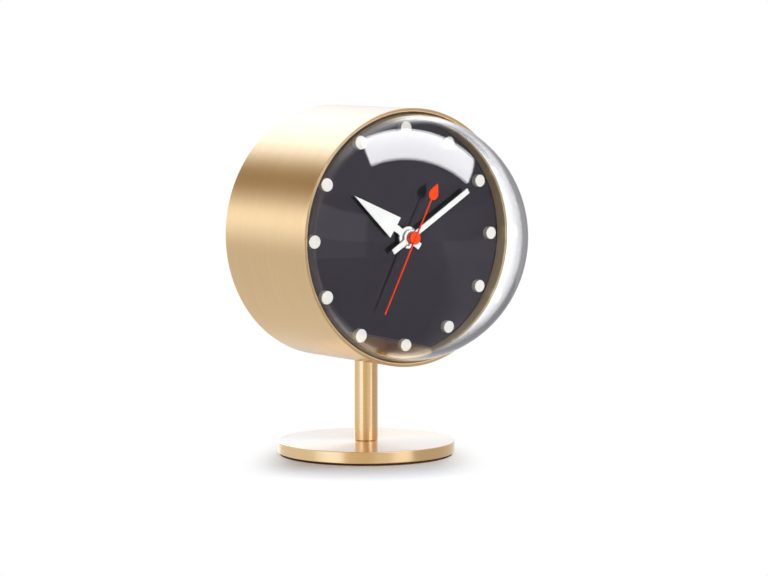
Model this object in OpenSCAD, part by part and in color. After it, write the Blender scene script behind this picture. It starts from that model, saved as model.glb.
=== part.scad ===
// Table clock: a brass drum on a post and a round base, with a clear domed front.
// Lengths are in millimetres. The origin is on the table, under the post.
// The dial faces -Y, and 12 o'clock points up, along +Z.

/* [Base] */
// Diameter of the brass base
base_d = 77; // [60:1:100]
// Thickness of the brass base
base_t = 5; // [3:0.5:9]
// Chamfer on the base's top and bottom edges
base_chamfer = 0.4; // [0.2:0.1:1]
// Thickness of the dark pad under the base
pad_t = 1; // [0.5:0.25:2]
// Set-back of the pad from the base's edge
pad_inset = 1; // [0.5:0.25:3]

/* [Post] */
// Diameter of the post
post_d = 10.2; // [8:0.2:14]
// Length of the post between the base and the drum
post_len = 35; // [20:1:60]
// Chamfer round the post's foot
post_chamfer = 0.3; // [0.1:0.1:0.6]
// Shank diameter of the screws in the two ends of the post
post_screw_d = 4; // [3:0.5:5]
// Head diameter of those screws
post_screw_head_d = 8; // [6.5:0.5:9]
// Head height of the screw inside the drum
post_screw_head_h = 2.6; // [2:0.2:3.5]
// Depth that each screw enters the post
post_screw_grip = 10; // [6:1:14]
// Diameter of the saddle washer inside the drum
saddle_d = 13; // [11:0.5:18]
// Thickness of the saddle washer over the drum's lowest line
saddle_t = 2; // [1.5:0.25:4]

/* [Drum] */
// Outer diameter of the drum
drum_d = 110; // [90:1:130]
// Length of the drum from rim to rim
drum_len = 60; // [56:1:80]
// Wall of the drum
drum_wall = 1.5; // [1.2:0.1:3]
// Distance from the post's axis forward to the front rim
drum_forward = 33.2; // [28:0.5:40]
// Chamfer on the drum's rims
drum_chamfer = 0.25; // [0.1:0.05:0.5]

/* [Dome] */
// Wall of the clear dome
dome_wall = 2.3; // [1.5:0.1:4]
// Glue line between the dome and the drum
dome_gap = 0.25; // [0.1:0.05:0.5]

/* [Dial] */
// Depth of the dial's face behind the front rim
dial_recess = 6.1; // [3:0.1:9]
// Thickness of the dial plate
dial_t = 1.5; // [1:0.25:3]
// Distance from the drum's inside to the middle of an hour peg
peg_inset = 7.1; // [6.4:0.1:14]
// Diameter of an hour peg
peg_d = 5.5; // [3:0.25:6]
// Height of an hour peg over the dial
peg_h = 2.5; // [1:0.25:4]
// Chamfer round a peg's face
peg_chamfer = 0.25; // [0.1:0.05:0.5]
// Diameter of the spigot that holds a peg in the dial
peg_spigot_d = 2.4; // [1.5:0.1:3]
// Depth of the ring that carries the dial
ring_t = 4; // [2:0.5:8]
// Radial width of that ring
ring_w = 5; // [4.4:0.2:9]
// Diameter of the threaded studs on the back of the dial
stud_d = 2; // [1.6:0.2:2.4]
// Width across the flats of the nuts on those studs
nut_flats = 4; // [3.6:0.1:4.4]
// Height of those nuts
nut_h = 1.6; // [1.2:0.1:2.4]

/* [Hands] */
// Reach of the hour hand from the axis
hour_reach = 33.4; // [25:0.2:38]
// Width of the hour hand's blade at its root
hour_blade_w = 9.9; // [6:0.1:14]
// Distance from the axis to the root of the blade
hour_blade_root = 8; // [6:0.25:12]
// Width of the hour hand's stem and tail
hour_stem_w = 3; // [2:0.1:4]
// Length of the hour hand's tail
hour_tail = 7.5; // [6:0.25:10]
// Diameter of the hour hand's hub
hour_hub_d = 9.4; // [8:0.2:12]
// Reach of the minute hand
minute_reach = 36.3; // [30:0.2:42]
// Width of the minute hand
minute_w = 2.4; // [1.5:0.1:4]
// Length of the minute hand's tail
minute_tail = 10.9; // [6:0.25:14]
// Diameter of the minute hand's hub
minute_hub_d = 7; // [5.5:0.2:9]
// Reach of the second hand's thin end
second_reach = 35.2; // [28:0.2:42]
// Reach of the second hand's leaf-shaped end
leaf_reach = 25.6; // [18:0.2:34]
// Length of the leaf
leaf_len = 7.4; // [4:0.2:10]
// Width of the leaf
leaf_w = 4.9; // [3:0.1:7]
// Width of the second hand's thin end at its tip
second_tip_w = 0.5; // [0.3:0.05:0.9]
// Width of the second hand at the cap
second_root_w = 0.9; // [0.6:0.05:1.4]
// Diameter of the round cap over the axis
cap_d = 5.5; // [4:0.1:8]
// Height of the cap
cap_h = 1.8; // [0.8:0.1:2.5]
// Thickness of the sheet that the hands are cut from
hand_t = 0.6; // [0.3:0.05:1]
// Height of the hour hand's back over the dial
hour_lift = 3.3; // [3:0.1:5]
// Gap between the hour hand and the minute hand
minute_gap = 1.3; // [0.8:0.1:3]
// Gap between the minute hand and the second hand
second_gap = 1.4; // [0.8:0.1:3]
// Wall of the hands' collars
collar_wall = 0.7; // [0.4:0.1:1.2]
// Diameter of the raised step on the minute hand's hub
step_d = 5.6; // [5:0.1:6]
// Height of that step
step_h = 0.5; // [0.2:0.1:0.8]
// Chamfer round the hubs, the step and the cap
hub_chamfer = 0.15; // [0.05:0.05:0.25]

/* [Time shown] */
// Angle of the hour hand, clockwise from 12
hour_angle = 303.8; // [0:0.1:360]
// Angle of the minute hand, clockwise from 12
minute_angle = 58.2; // [0:0.1:360]
// Angle of the second hand's leaf, clockwise from 12
second_angle = 27; // [0:0.1:360]

/* [Movement] */
// Width and height of the movement's case
box_w = 56; // [54:0.5:62]
// Depth of the movement's case
box_depth = 16; // [16:0.25:20]
// Wall of the movement's case
box_wall = 1.2; // [1:0.1:1.4]
// Corner radius of the case
box_corner_r = 3; // [1:0.25:5]
// Diameter of the boss that centres the dial
boss_d = 8; // [7.6:0.2:9]
// Width of the fixing lugs
lug_w = 8; // [7:0.5:10]
// Thickness of the fixing lugs
lug_t = 2; // [1.5:0.25:3]
// Reach of the lugs past the case
lug_reach = 7; // [6.5:0.25:9]
// Diameter of the hour pipe
hour_pipe_d = 5.2; // [5:0.1:5.4]
// Diameter of the minute pipe
minute_pipe_d = 3.5; // [3.3:0.1:3.7]
// Diameter of the wheels' arbors
arbor_d = 1.2; // [1:0.1:1.3]
// Diameter of the pivots at the arbors' ends
pivot_d = 0.8; // [0.6:0.1:0.9]
// Diameter of the bearing bosses
bearing_d = 3; // [2.4:0.2:3.4]

/* [Wheel train] */
// Thickness of the wheels
wheel_t = 1.2; // [0.8:0.1:1.3]
// Gap between neighbouring wheels
layer_gap = 0.5; // [0.4:0.05:0.6]
// Play between meshed teeth
tooth_play = 0.08; // [0.06:0.01:0.12]
// Distance from the axis to the motion wheel, as a share of the case's width
motion_centre_share = 0.1714; // [0.17:0.0002:0.175]
// Direction of the motion wheel from the axis
motion_angle = -12; // [-16:1:-8]
// Distance from the motion wheel to the setting arbor, as such a share
knob_centre_share = 0.1714; // [0.17:0.0002:0.175]
// Direction of the setting arbor from the motion wheel
knob_angle = -5; // [-10:1:0]
// Distance from the axis to the third wheel, as such a share
third_centre_share = 0.2054; // [0.202:0.0002:0.207]
// Direction of the third wheel from the axis
third_angle = 135; // [130:1:140]
// Distance from the axis to the drive wheel, as such a share
drive_centre_share = 0.2143; // [0.2125:0.0002:0.2178]
// Direction of the drive wheel from the axis
drive_angle = 60; // [57:1:63]
// Distance from the drive wheel to the rotor, as such a share
rotor_centre_share = 0.175; // [0.1715:0.0002:0.1768]
// Direction of the rotor from the drive wheel
rotor_angle = 55; // [52:1:58]
// Teeth of the cannon pinion and of the setting pinion
cannon_teeth = 12; // [12:1:14]
// Teeth of the motion wheel
motion_teeth = 36; // [32:1:40]
// Teeth of the motion wheel's pinion
motion_pinion_teeth = 10; // [10:1:12]
// Teeth of the hour wheel
hour_teeth = 40; // [36:1:44]
// Teeth of the small pinions
pinion_teeth = 8; // [8:1:9]
// Teeth of the centre wheel
centre_teeth = 64; // [56:1:70]
// Teeth of the third wheel
third_teeth = 60; // [54:1:66]
// Teeth of the second wheel
second_teeth = 40; // [36:1:44]
// Teeth of the drive wheel
drive_teeth = 48; // [44:1:52]
// Diameter of the rotor's magnet
magnet_d = 6.4; // [5:0.2:6.6]
// Thickness of the rotor's magnet
magnet_t = 3; // [2:0.2:3.2]
// Width of the stator's bar round the rotor
stator_w = 8; // [7.8:0.1:8.4]
// Thickness of the stator and of the coil's core
stator_t = 0.8; // [0.5:0.1:1]
// Air gap between the magnet and the stator
air_gap = 0.4; // [0.3:0.05:0.5]
// Clear space between the coil and the stator's bar
coil_gap = 1; // [0.6:0.1:1.4]
// Length of the coil, as a share of the case's width
coil_len_share = 0.3036; // [0.21:0.001:0.31]
// Diameter of the coil's winding
coil_d = 6.6; // [5:0.2:7]
// Thickness and overhang of the bobbin's flanges
bobbin_flange = 0.6; // [0.4:0.1:0.7]
// Length of the stator's legs along the coil's axis
leg_len = 3; // [2.6:0.1:3.1]
// Diameter of the screws that hold the stator
stator_screw_d = 1.4; // [1.2:0.1:1.6]

/* [Setting knob] */
// Diameter of the setting knob
knob_d = 11; // [8:0.5:12]
// Height of the setting knob
knob_h = 3.5; // [2.5:0.25:5]
// Diameter of the setting arbor
knob_arbor_d = 3; // [2.6:0.1:3.6]
// Number of ridges round the knob
knob_ridges = 20; // [12:1:28]
// Height of those ridges
knob_ridge = 0.4; // [0.2:0.1:0.8]

/* [Battery and circuit] */
// Room in the case for the sprung contact beyond the battery's flat end
spring_room = 2.7; // [2.6:0.1:3.6]
// Diameter of the battery, as a share of its length
battery_d_share = 0.2812; // [0.236:0.0004:0.2812]
// Length of the battery's positive terminal
terminal_len = 1.1; // [1:0.1:1.3]
// Diameter of the positive terminal
terminal_d = 5.4; // [4.6:0.1:5.5]
// Thickness of the battery contacts
contact_t = 0.4; // [0.3:0.05:0.5]
// Width of the battery contacts
contact_w = 9; // [7:0.25:10]
// Width of the circuit board
board_w = 13; // [10:0.5:13.5]
// Height of the circuit board
board_h = 28; // [22:0.5:30]
// Thickness of the circuit board
board_t = 1; // [0.8:0.1:1.2]
// Distance from the circuit board to the case's rear plate
board_stand = 1.6; // [1.4:0.1:1.8]

/* [Rear cover] */
// Depth of the cover's face behind the rear rim
cover_recess = 1.2; // [0.8:0.1:2.5]
// Thickness of the cover
cover_t = 2; // [1.5:0.1:3]
// Length of the cover's skirt
skirt_len = 6; // [3:0.5:9]
// Wall of the skirt
skirt_wall = 1.5; // [1:0.1:2.5]
// Depth that the drum's wall is turned away to seat the cover
seat_depth = 0.5; // [0.3:0.05:0.7]
// Diameter of the cover's finger dish
dish_d = 46; // [40:1:60]
// Depth of the dish
dish_depth = 9; // [6:0.5:11]
// Width of the grip across the dish
grip_w = 7; // [5:0.5:10]

/* [Fits] */
// Running clearance on the radius of a pivot or pipe
running_gap = 0.05; // [0.03:0.01:0.08]
// Clearance on the radius of a pressed or threaded joint
press_gap = 0.02; // [0.01:0.01:0.04]
// Clearance on the radius of a loose hole
loose_gap = 0.15; // [0.1:0.05:0.25]
// Clearance between the rear cover and the drum
cover_gap = 0.15; // [0.1:0.05:0.2]
// End play of the wheels
end_play = 0.3; // [0.15:0.05:0.4]

/* [Hidden] */
$fn = 96;
// Facets shown on the drum's large arcs where a small piece is cut to them
fine = 720;
// Overrun of the cuts
over = 0.5;
// Faces of a hexagonal nut or socket
hex = 6;
// Pressure angle of the teeth
pressure_angle = 25;
// Tooth height over and under the pitch circle, as shares of the module
addendum_share = 0.7;
dedendum_share = 0.95;
// Tooth counts under this get a flank in three steps
pinion_limit = 20;
hour_count = 12;
ring_stud_count = 3;

// Heights and depths that follow from the sizes above
drum_r = drum_d / 2;
drum_in_r = drum_r - drum_wall;
base_top = pad_t + base_t;
drum_z = base_top + post_len + drum_r;
front_y = -drum_forward;
rear_y = front_y + drum_len;
dial_y = front_y + dial_recess;
dial_back_y = dial_y + dial_t;
ring_back_y = dial_back_y + ring_t;
dome_r = drum_in_r - dome_gap;
dial_r = drum_in_r - dome_gap;
ring_r = drum_in_r - press_gap;
ring_in_r = ring_r - ring_w;
peg_circle_r = drum_in_r - peg_inset;
nut_r = nut_flats / 2 / cos(180 / hex);
ring_stud_r = ring_r - nut_r - loose_gap;
box_rear_y = dial_back_y + box_depth;
wall_in_y = dial_back_y + box_wall;
plate_in_y = box_rear_y - box_wall;
box_in = box_w / 2 - box_wall;
lug_x = box_w / 2 + lug_reach / 2;

// Depth of the front of a wheel layer, counted from the case's front wall
function layer(n) = wall_in_y + layer_gap + n * (wheel_t + layer_gap);

// Place at a distance and a direction from the axis, across the dial
function polar(c, a) = [c * cos(a), c * sin(a)];
motion_centre = motion_centre_share * box_w;
knob_centre = knob_centre_share * box_w;
third_centre = third_centre_share * box_w;
drive_centre = drive_centre_share * box_w;
rotor_centre = rotor_centre_share * box_w;
motion_at = polar(motion_centre, motion_angle);
knob_at = motion_at + polar(knob_centre, knob_angle);
third_at = polar(third_centre, third_angle);
drive_at = polar(drive_centre, drive_angle);
rotor_at = drive_at + polar(rotor_centre, rotor_angle);

// Modules of the tooth pairs, from their centre distances and tooth counts
motion_m = 2 * motion_centre / (cannon_teeth + motion_teeth);
hour_m = 2 * motion_centre / (motion_pinion_teeth + hour_teeth);
knob_m = motion_m;
centre_m = 2 * third_centre / (centre_teeth + pinion_teeth);
third_m = 2 * third_centre / (third_teeth + pinion_teeth);
second_m = 2 * drive_centre / (second_teeth + pinion_teeth);
drive_m = 2 * rotor_centre / (drive_teeth + pinion_teeth);
knob_teeth = round(2 * knob_centre / knob_m) - motion_teeth;

// Angle of a wheel that meshes with another, which has z1 teeth at angle a1,
// when it lies in the direction b from it and has z2 teeth
function mesh(z1, a1, z2, b) = b + 180 - (0.5 - (b - a1) * z1 / 360) * 360 / z2;
motion_phase = mesh(cannon_teeth, 0, motion_teeth, motion_angle);
hour_phase = mesh(motion_pinion_teeth, motion_phase, hour_teeth, motion_angle + 180);
knob_phase = mesh(motion_teeth, motion_phase, knob_teeth, knob_angle);
third_phase = mesh(centre_teeth, 0, pinion_teeth, third_angle);
second_phase = mesh(third_teeth, third_phase, pinion_teeth, third_angle + 180);
drive_phase = mesh(second_teeth, second_phase, pinion_teeth, drive_angle);
rotor_phase = mesh(drive_teeth, drive_phase, pinion_teeth, rotor_angle);

// Involute function, in degrees
function inv(a) = tan(a) * 180 / PI - a;

// Half angle of a tooth at radius r, on a wheel of z teeth and module m
function tooth_half(z, m, r) =
    let (rp = z * m / 2)
    let (rb = rp * cos(pressure_angle))
    let (half = 90 / z - tooth_play / (4 * rp) * 180 / PI)
    half + inv(pressure_angle) - (r > rb ? inv(acos(rb / r)) : 0);

// Radii at which a tooth's flank is given
function flank(z, m) =
    let (rp = z * m / 2)
    let (root = rp - dedendum_share * m)
    let (tip = rp + addendum_share * m)
    z < pinion_limit ? [root, rp * cos(pressure_angle), rp, tip] : [root, tip];

// Outline of a toothed wheel, with a tooth centred on the angle a
module teeth(z, m, a) {
    rs = flank(z, m);
    n = len(rs);
    polygon([
        for (i = [0:z - 1], j = [0:2 * n - 1])
            let (r = j < n ? rs[j] : rs[2 * n - 1 - j])
            let (side = j < n ? -1 : 1)
            let (t = a + i * 360 / z + side * tooth_half(z, m, r))
            [r * cos(t), r * sin(t)]
    ]);
}

// Solid of a flat outline that lies across the dial, from depth y0 to y1
module slab(y0, y1, at = [0, 0]) {
    translate([at[0], y1, drum_z + at[1]]) rotate([90, 0, 0]) linear_extrude(y1 - y0) children();
}

// Round bar along Y
module rod(y0, y1, r, at = [0, 0]) {
    translate([at[0], y1, drum_z + at[1]]) rotate([90, 0, 0]) cylinder(r = r, h = y1 - y0);
}

// Turned shape along Y: its profile holds radius and depth from y
module turned(y, at = [0, 0]) {
    translate([at[0], y, drum_z + at[1]]) rotate([-90, 0, 0]) rotate_extrude() children();
}

module rounded_square(w, h, r) {
    square([w - 2 * r, h], center = true);
    square([w, h - 2 * r], center = true);
    for (x = [-1, 1], y = [-1, 1]) translate([x * (w / 2 - r), y * (h / 2 - r)]) circle(r);
}

module base_disc() {
    r = base_d / 2;
    head_r = post_screw_head_d / 2 + loose_gap;
    shank_r = post_screw_d / 2 + loose_gap;
    color("#d9b478") difference() {
        translate([0, 0, pad_t]) rotate_extrude() polygon([
            [0, 0],
            [r - base_chamfer, 0],
            [r, base_chamfer],
            [r, base_t - base_chamfer],
            [r - base_chamfer, base_t],
            [0, base_t],
        ]);
        translate([0, 0, pad_t - over]) cylinder(r = shank_r, h = base_t + 2 * over);
        translate([0, 0, pad_t]) cylinder(r1 = head_r, r2 = shank_r, h = head_r - shank_r);
    }
}

module base_pad() {
    color("#38200e") cylinder(r = base_d / 2 - pad_inset, h = pad_t);
}

// Countersunk screw with a hexagonal socket, up through the base
module base_screw() {
    head_r = post_screw_head_d / 2;
    shank_r = post_screw_d / 2;
    socket_r = shank_r * 2 / 3;
    color("#8a8d92") translate([0, 0, pad_t]) difference() {
        union() {
            cylinder(r1 = head_r, r2 = shank_r, h = head_r - shank_r);
            cylinder(r = shank_r, h = base_t + post_screw_grip);
        }
        translate([0, 0, -over]) cylinder(r = socket_r, h = base_t / 3 + over, $fn = hex);
    }
}

// Post with its top cut to sit under the drum
module post() {
    r = post_d / 2;
    thread_r = post_screw_d / 2 + press_gap;
    top = drum_z - drum_r;
    color("#d8b074") difference() {
        union() {
            translate([0, 0, base_top]) cylinder(r1 = r - post_chamfer, r2 = r, h = post_chamfer);
            translate([0, 0, base_top + post_chamfer]) cylinder(r = r, h = post_len - post_chamfer + r);
        }
        rod(-post_d, post_d, drum_r, $fn = fine);
        translate([0, 0, base_top - over]) cylinder(r = thread_r, h = post_screw_grip + 2 * over);
        translate([0, 0, top - post_screw_grip - over])
            cylinder(r = thread_r, h = post_screw_grip + 2 * over);
    }
}

// Screw from inside the drum down into the post
module post_screw() {
    top = drum_z - drum_in_r + saddle_t;
    head_r = post_screw_head_d / 2;
    color("#8a8d92") difference() {
        union() {
            translate([0, 0, top]) cylinder(r = head_r, h = post_screw_head_h);
            translate([0, 0, top - saddle_t - drum_wall - post_screw_grip])
                cylinder(r = post_screw_d / 2, h = saddle_t + drum_wall + post_screw_grip);
        }
        translate([0, 0, top + post_screw_head_h / 2])
            cylinder(r = post_screw_d / 3, h = post_screw_head_h, $fn = hex);
    }
}

// Washer whose underside follows the inside of the drum
module saddle_washer() {
    low = drum_z - drum_in_r;
    color("#b9bcc0") difference() {
        intersection() {
            translate([0, 0, low]) cylinder(r = saddle_d / 2, h = saddle_t);
            rod(-saddle_d, saddle_d, drum_in_r - press_gap, $fn = fine);
        }
        translate([0, 0, low - over])
            cylinder(r = post_screw_d / 2 + loose_gap, h = saddle_t + 2 * over);
    }
}

// Brass tube with chamfered rims and a turned seat for the rear cover
module drum() {
    seat_r = drum_in_r + seat_depth;
    seat_at = drum_len - cover_recess - cover_t;
    c = drum_chamfer;
    color("#d8b478") difference() {
        turned(front_y) polygon([
            [drum_in_r, c],
            [drum_in_r + c, 0],
            [drum_r - c, 0],
            [drum_r, c],
            [drum_r, drum_len - c],
            [drum_r - c, drum_len],
            [seat_r + c, drum_len],
            [seat_r, drum_len - c],
            [seat_r, seat_at],
            [drum_in_r, seat_at],
        ]);
        translate([0, 0, drum_z - drum_r - over])
            cylinder(r = post_screw_d / 2 + loose_gap, h = drum_wall + 2 * over);
    }
}

// Half sphere of clear plastic that stands on the dial, inside the drum's mouth
module dome() {
    color("#dfe6ea", 0.3) difference() {
        translate([0, dial_y, drum_z]) sphere(r = dome_r);
        translate([0, dial_y, drum_z]) sphere(r = dome_r - dome_wall);
        rod(dial_y, dial_y + dome_r + over, dome_r + over);
    }
}

// Places its children once at each hour
module at_hours() {
    for (i = [0:hour_count - 1]) {
        a = 90 - i * 360 / hour_count;
        translate([peg_circle_r * cos(a), 0, peg_circle_r * sin(a)]) children();
    }
}

// Places its children at the studs of the dial: three on the ring, two on the lugs
module at_ring_studs() {
    for (i = [0:ring_stud_count - 1]) {
        a = 90 + i * 360 / ring_stud_count;
        translate([ring_stud_r * cos(a), 0, ring_stud_r * sin(a)]) children();
    }
}

module at_lug_studs() {
    for (s = [-1, 1]) translate([s * lug_x, 0, 0]) children();
}

module dial_plate() {
    stud_r = stud_d / 2;
    color("#3a383e") {
        difference() {
            rod(dial_y, dial_back_y, dial_r);
            rod(dial_y - over, dial_back_y + over, boss_d / 2 + loose_gap);
            at_hours() rod(dial_y - over, dial_back_y + over, peg_spigot_d / 2 + press_gap);
        }
        at_ring_studs() rod(dial_back_y, ring_back_y + nut_h + stud_r / 2, stud_r);
        at_lug_studs() rod(dial_back_y, dial_back_y + lug_t + nut_h + stud_r / 2, stud_r);
    }
}

module hour_pegs() {
    r = peg_d / 2;
    color("#ebe8e2") at_hours() turned(dial_y - peg_h) polygon([
        [0, 0],
        [r - peg_chamfer, 0],
        [r, peg_chamfer],
        [r, peg_h],
        [peg_spigot_d / 2, peg_h],
        [peg_spigot_d / 2, peg_h + dial_t],
        [0, peg_h + dial_t],
    ]);
}

// Ring pressed into the drum, which the dial is bolted to
module dial_ring() {
    color("#8d8f93") difference() {
        rod(dial_back_y, ring_back_y, ring_r);
        rod(dial_back_y - over, ring_back_y + over, ring_in_r);
        at_ring_studs() rod(dial_back_y - over, ring_back_y + over, stud_d / 2 + loose_gap);
    }
}

module hex_nut(y) {
    difference() {
        translate([0, y + nut_h, drum_z]) rotate([90, 0, 0])
            cylinder(r = nut_r, h = nut_h, $fn = hex);
        rod(y - over, y + nut_h + over, stud_d / 2 + press_gap);
    }
}

module dial_nuts() {
    color("#b9bcc0") {
        at_ring_studs() hex_nut(ring_back_y);
        at_lug_studs() hex_nut(dial_back_y + lug_t);
    }
}

// Heights of the hands' backs, in front of the dial
hour_back_y = dial_y - hour_lift;
hour_face_y = hour_back_y - hand_t;
minute_back_y = hour_face_y - minute_gap;
minute_face_y = minute_back_y - hand_t;
second_back_y = minute_face_y - second_gap;
hour_pipe_r = hour_pipe_d / 2;
minute_pipe_r = minute_pipe_d / 2;
arbor_r = arbor_d / 2;
pivot_r = pivot_d / 2;

// Round hub whose front rim, at depth y0, is chamfered
module hub(y0, y1, r) {
    c = hub_chamfer;
    turned(y0) polygon([[0, 0], [r - c, 0], [r, c], [r, y1 - y0], [0, y1 - y0]]);
}

// Triangular hour hand with a narrow stem and a short tail
module hour_hand() {
    b = hour_blade_w / 2;
    s = hour_stem_w / 2;
    hole_r = hour_pipe_r + press_gap;
    color("#f0f0ec") difference() {
        union() {
            slab(hour_face_y, hour_back_y) rotate(-hour_angle) union() {
                polygon([[0, hour_reach], [b, hour_blade_root], [-b, hour_blade_root]]);
                translate([-s, -hour_tail]) square([hour_stem_w, hour_tail + hour_blade_root + s]);
            }
            hub(hour_face_y - hub_chamfer, hour_back_y, hour_hub_d / 2);
            rod(hour_face_y, hour_back_y + hand_t, hole_r + collar_wall);
        }
        rod(hour_face_y - hub_chamfer - over, hour_back_y + hand_t + over, hole_r);
    }
}

// Straight minute hand with a collar under it
module minute_hand() {
    hole_r = minute_pipe_r + press_gap;
    color("#f0f0ec") difference() {
        union() {
            slab(minute_face_y, minute_back_y) rotate(-minute_angle)
                translate([-minute_w / 2, -minute_tail]) square([minute_w, minute_tail + minute_reach]);
            hub(minute_face_y - hub_chamfer, minute_back_y, minute_hub_d / 2);
            hub(minute_face_y - step_h, minute_back_y, step_d / 2);
            rod(minute_face_y, minute_back_y + minute_gap / 2, hole_r + collar_wall);
        }
        rod(minute_face_y - step_h - over, minute_back_y + minute_gap / 2 + over, hole_r);
    }
}

// Outline of the leaf: shares of its half width and of its length, from its neck
leaf_shares = [
    [0.12, 0], [0.55, 0.03], [0.85, 0.14], [1, 0.3], [0.93, 0.45], [0.7, 0.6],
    [0.42, 0.75], [0.18, 0.89], [0, 1]
];

// Thin second hand with a leaf at one end, let into the face of a round cap over the axis
module second_hand() {
    back_y = second_back_y;
    cap_y = back_y - cap_h;
    neck = leaf_reach - leaf_len;
    n = len(leaf_shares);
    hole_r = arbor_r + press_gap;
    color("#f5461a") difference() {
        union() {
            slab(cap_y - hand_t / 2, cap_y + hand_t / 2) rotate(-second_angle) union() {
                polygon([
                    [-second_root_w / 2, 0],
                    [-second_tip_w / 2, -second_reach],
                    [second_tip_w / 2, -second_reach],
                    [second_root_w / 2, 0],
                    [second_root_w / 2, neck + leaf_len / 4],
                    [-second_root_w / 2, neck + leaf_len / 4],
                ]);
                translate([0, neck]) polygon(concat(
                    [for (p = leaf_shares) [p[0] * leaf_w / 2, p[1] * leaf_len]],
                    [for (i = [n - 2:-1:0]) [-leaf_shares[i][0] * leaf_w / 2, leaf_shares[i][1] * leaf_len]]
                ));
            }
            hub(cap_y, back_y, cap_d / 2);
            rod(back_y - hand_t, back_y + second_gap / 2, hole_r + collar_wall);
        }
        rod(back_y - hand_t, back_y + second_gap, hole_r);
    }
}

// Hour wheel on its pipe
module hour_wheel() {
    y0 = layer(0);
    color("#e6dcc0") difference() {
        union() {
            slab(y0, y0 + wheel_t) teeth(hour_teeth, hour_m, hour_phase);
            rod(hour_face_y - hand_t / 2, y0 + wheel_t, hour_pipe_r);
        }
        rod(hour_face_y - hand_t, y0 + wheel_t + over, minute_pipe_r + running_gap);
    }
}

// Minute pipe with the cannon pinion and the centre wheel
module minute_wheel() {
    y1 = layer(1);
    y2 = layer(2);
    color("#e6dcc0") difference() {
        union() {
            rod(minute_face_y - hand_t / 2, y2 + wheel_t, minute_pipe_r);
            slab(y1 - layer_gap / 2, y2) teeth(cannon_teeth, motion_m, 0);
            slab(y2, y2 + wheel_t) teeth(centre_teeth, centre_m, 0);
        }
        rod(minute_face_y - hand_t, y2 + wheel_t + over, arbor_r + running_gap);
    }
}

// Motion wheel with its pinion, on a stud of the case
module motion_wheel() {
    y0 = wall_in_y + end_play;
    y1 = layer(1);
    color("#e6dcc0") difference() {
        union() {
            slab(y0, y1, motion_at) teeth(motion_pinion_teeth, hour_m, motion_phase);
            slab(y1, y1 + wheel_t, motion_at) teeth(motion_teeth, motion_m, motion_phase);
        }
        rod(y0 - over, y1 + wheel_t + over, bearing_d / 3 + running_gap, motion_at);
    }
}

// Arbor from the case's front wall to its rear plate, with a pivot at each end
module arbor(at) {
    rod(wall_in_y + end_play, plate_in_y - bearing_h - end_play / 2, arbor_r, at);
    rod(wall_in_y - box_wall / 2, plate_in_y, pivot_r, at);
}

module third_wheel() {
    y2 = layer(2);
    y3 = layer(3);
    color("#e6dcc0") {
        arbor(third_at);
        slab(y2 - layer_gap / 2, y3, third_at) teeth(pinion_teeth, centre_m, third_phase);
        slab(y3, y3 + wheel_t, third_at) teeth(third_teeth, third_m, third_phase);
    }
}

// Arbor of the second hand with its pinion and wheel
module second_wheel() {
    y3 = layer(3);
    y4 = layer(4);
    color("#e6dcc0") {
        rod(second_back_y - hand_t / 2, plate_in_y - bearing_h - end_play / 2, arbor_r);
        rod(second_back_y, plate_in_y, pivot_r);
        slab(y3 - layer_gap / 2, y4) teeth(pinion_teeth, third_m, second_phase);
        slab(y4, y4 + wheel_t) teeth(second_teeth, second_m, second_phase);
    }
}

// Wheel between the rotor and the second wheel
module drive_wheel() {
    y4 = layer(4);
    y5 = layer(5);
    color("#e6dcc0") {
        arbor(drive_at);
        slab(y4 - layer_gap / 2, y5, drive_at) teeth(pinion_teeth, second_m, drive_phase);
        slab(y5, y5 + wheel_t, drive_at) teeth(drive_teeth, drive_m, drive_phase);
    }
}

// Places along the motor's depth: the stator lies round the middle of the magnet
stator_y = layer(3);
magnet_y = stator_y + (stator_t - magnet_t) / 2;
core_y = stator_y + stator_t;
flange_r = (coil_d + bobbin_flange) / 2;
coil_len = coil_len_share * box_w;
leg_high = box_in - coil_gap / 2 - leg_len;
leg_low = leg_high - coil_len - leg_len;
coil_at = [rotor_at[0] + stator_w / 2 + coil_gap + flange_r, leg_high - coil_len];
bearing_h = plate_in_y - layer(5) - wheel_t - layer_gap;

module rotor() {
    y5 = layer(5);
    color("#4a4c50") {
        arbor(rotor_at);
        slab(y5 - layer_gap / 2, y5 + wheel_t, rotor_at) teeth(pinion_teeth, drive_m, rotor_phase);
        rod(magnet_y, magnet_y + magnet_t, magnet_d / 2, rotor_at);
    }
}

// Places its children on the two posts that hold the stator
module at_stator_screws() {
    for (z = [leg_low, leg_high]) translate([coil_at[0], 0, z + leg_len / 2]) children();
}

// Iron bar round the rotor, with a leg to each end of the coil
module stator() {
    h = leg_high + leg_len - leg_low;
    x0 = rotor_at[0] - stator_w / 2;
    color("#9a9ca0") difference() {
        slab(stator_y, stator_y + stator_t) difference() {
            union() {
                translate([x0, leg_low]) square([stator_w, h]);
                for (z = [leg_low, leg_high])
                    translate([x0, z]) square([coil_at[0] - x0 + leg_len / 2, leg_len]);
            }
            translate(rotor_at) circle(magnet_d / 2 + air_gap);
        }
        at_stator_screws() rod(stator_y - over, core_y + over, stator_screw_d / 2 + loose_gap);
    }
}

module coil_core() {
    h = leg_high + leg_len - leg_low;
    color("#9a9ca0") difference() {
        slab(core_y, core_y + stator_t)
            translate([coil_at[0] - leg_len / 2, leg_low]) square([leg_len, h]);
        at_stator_screws() rod(core_y - over, core_y + stator_t + over, stator_screw_d / 2 + loose_gap);
    }
}

// Bar along Z through the coil, for its bore and its flanges
module coil_bar(z0, h, r) {
    translate([coil_at[0], core_y + stator_t / 2, drum_z + z0]) cylinder(r = r, h = h);
}

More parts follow.
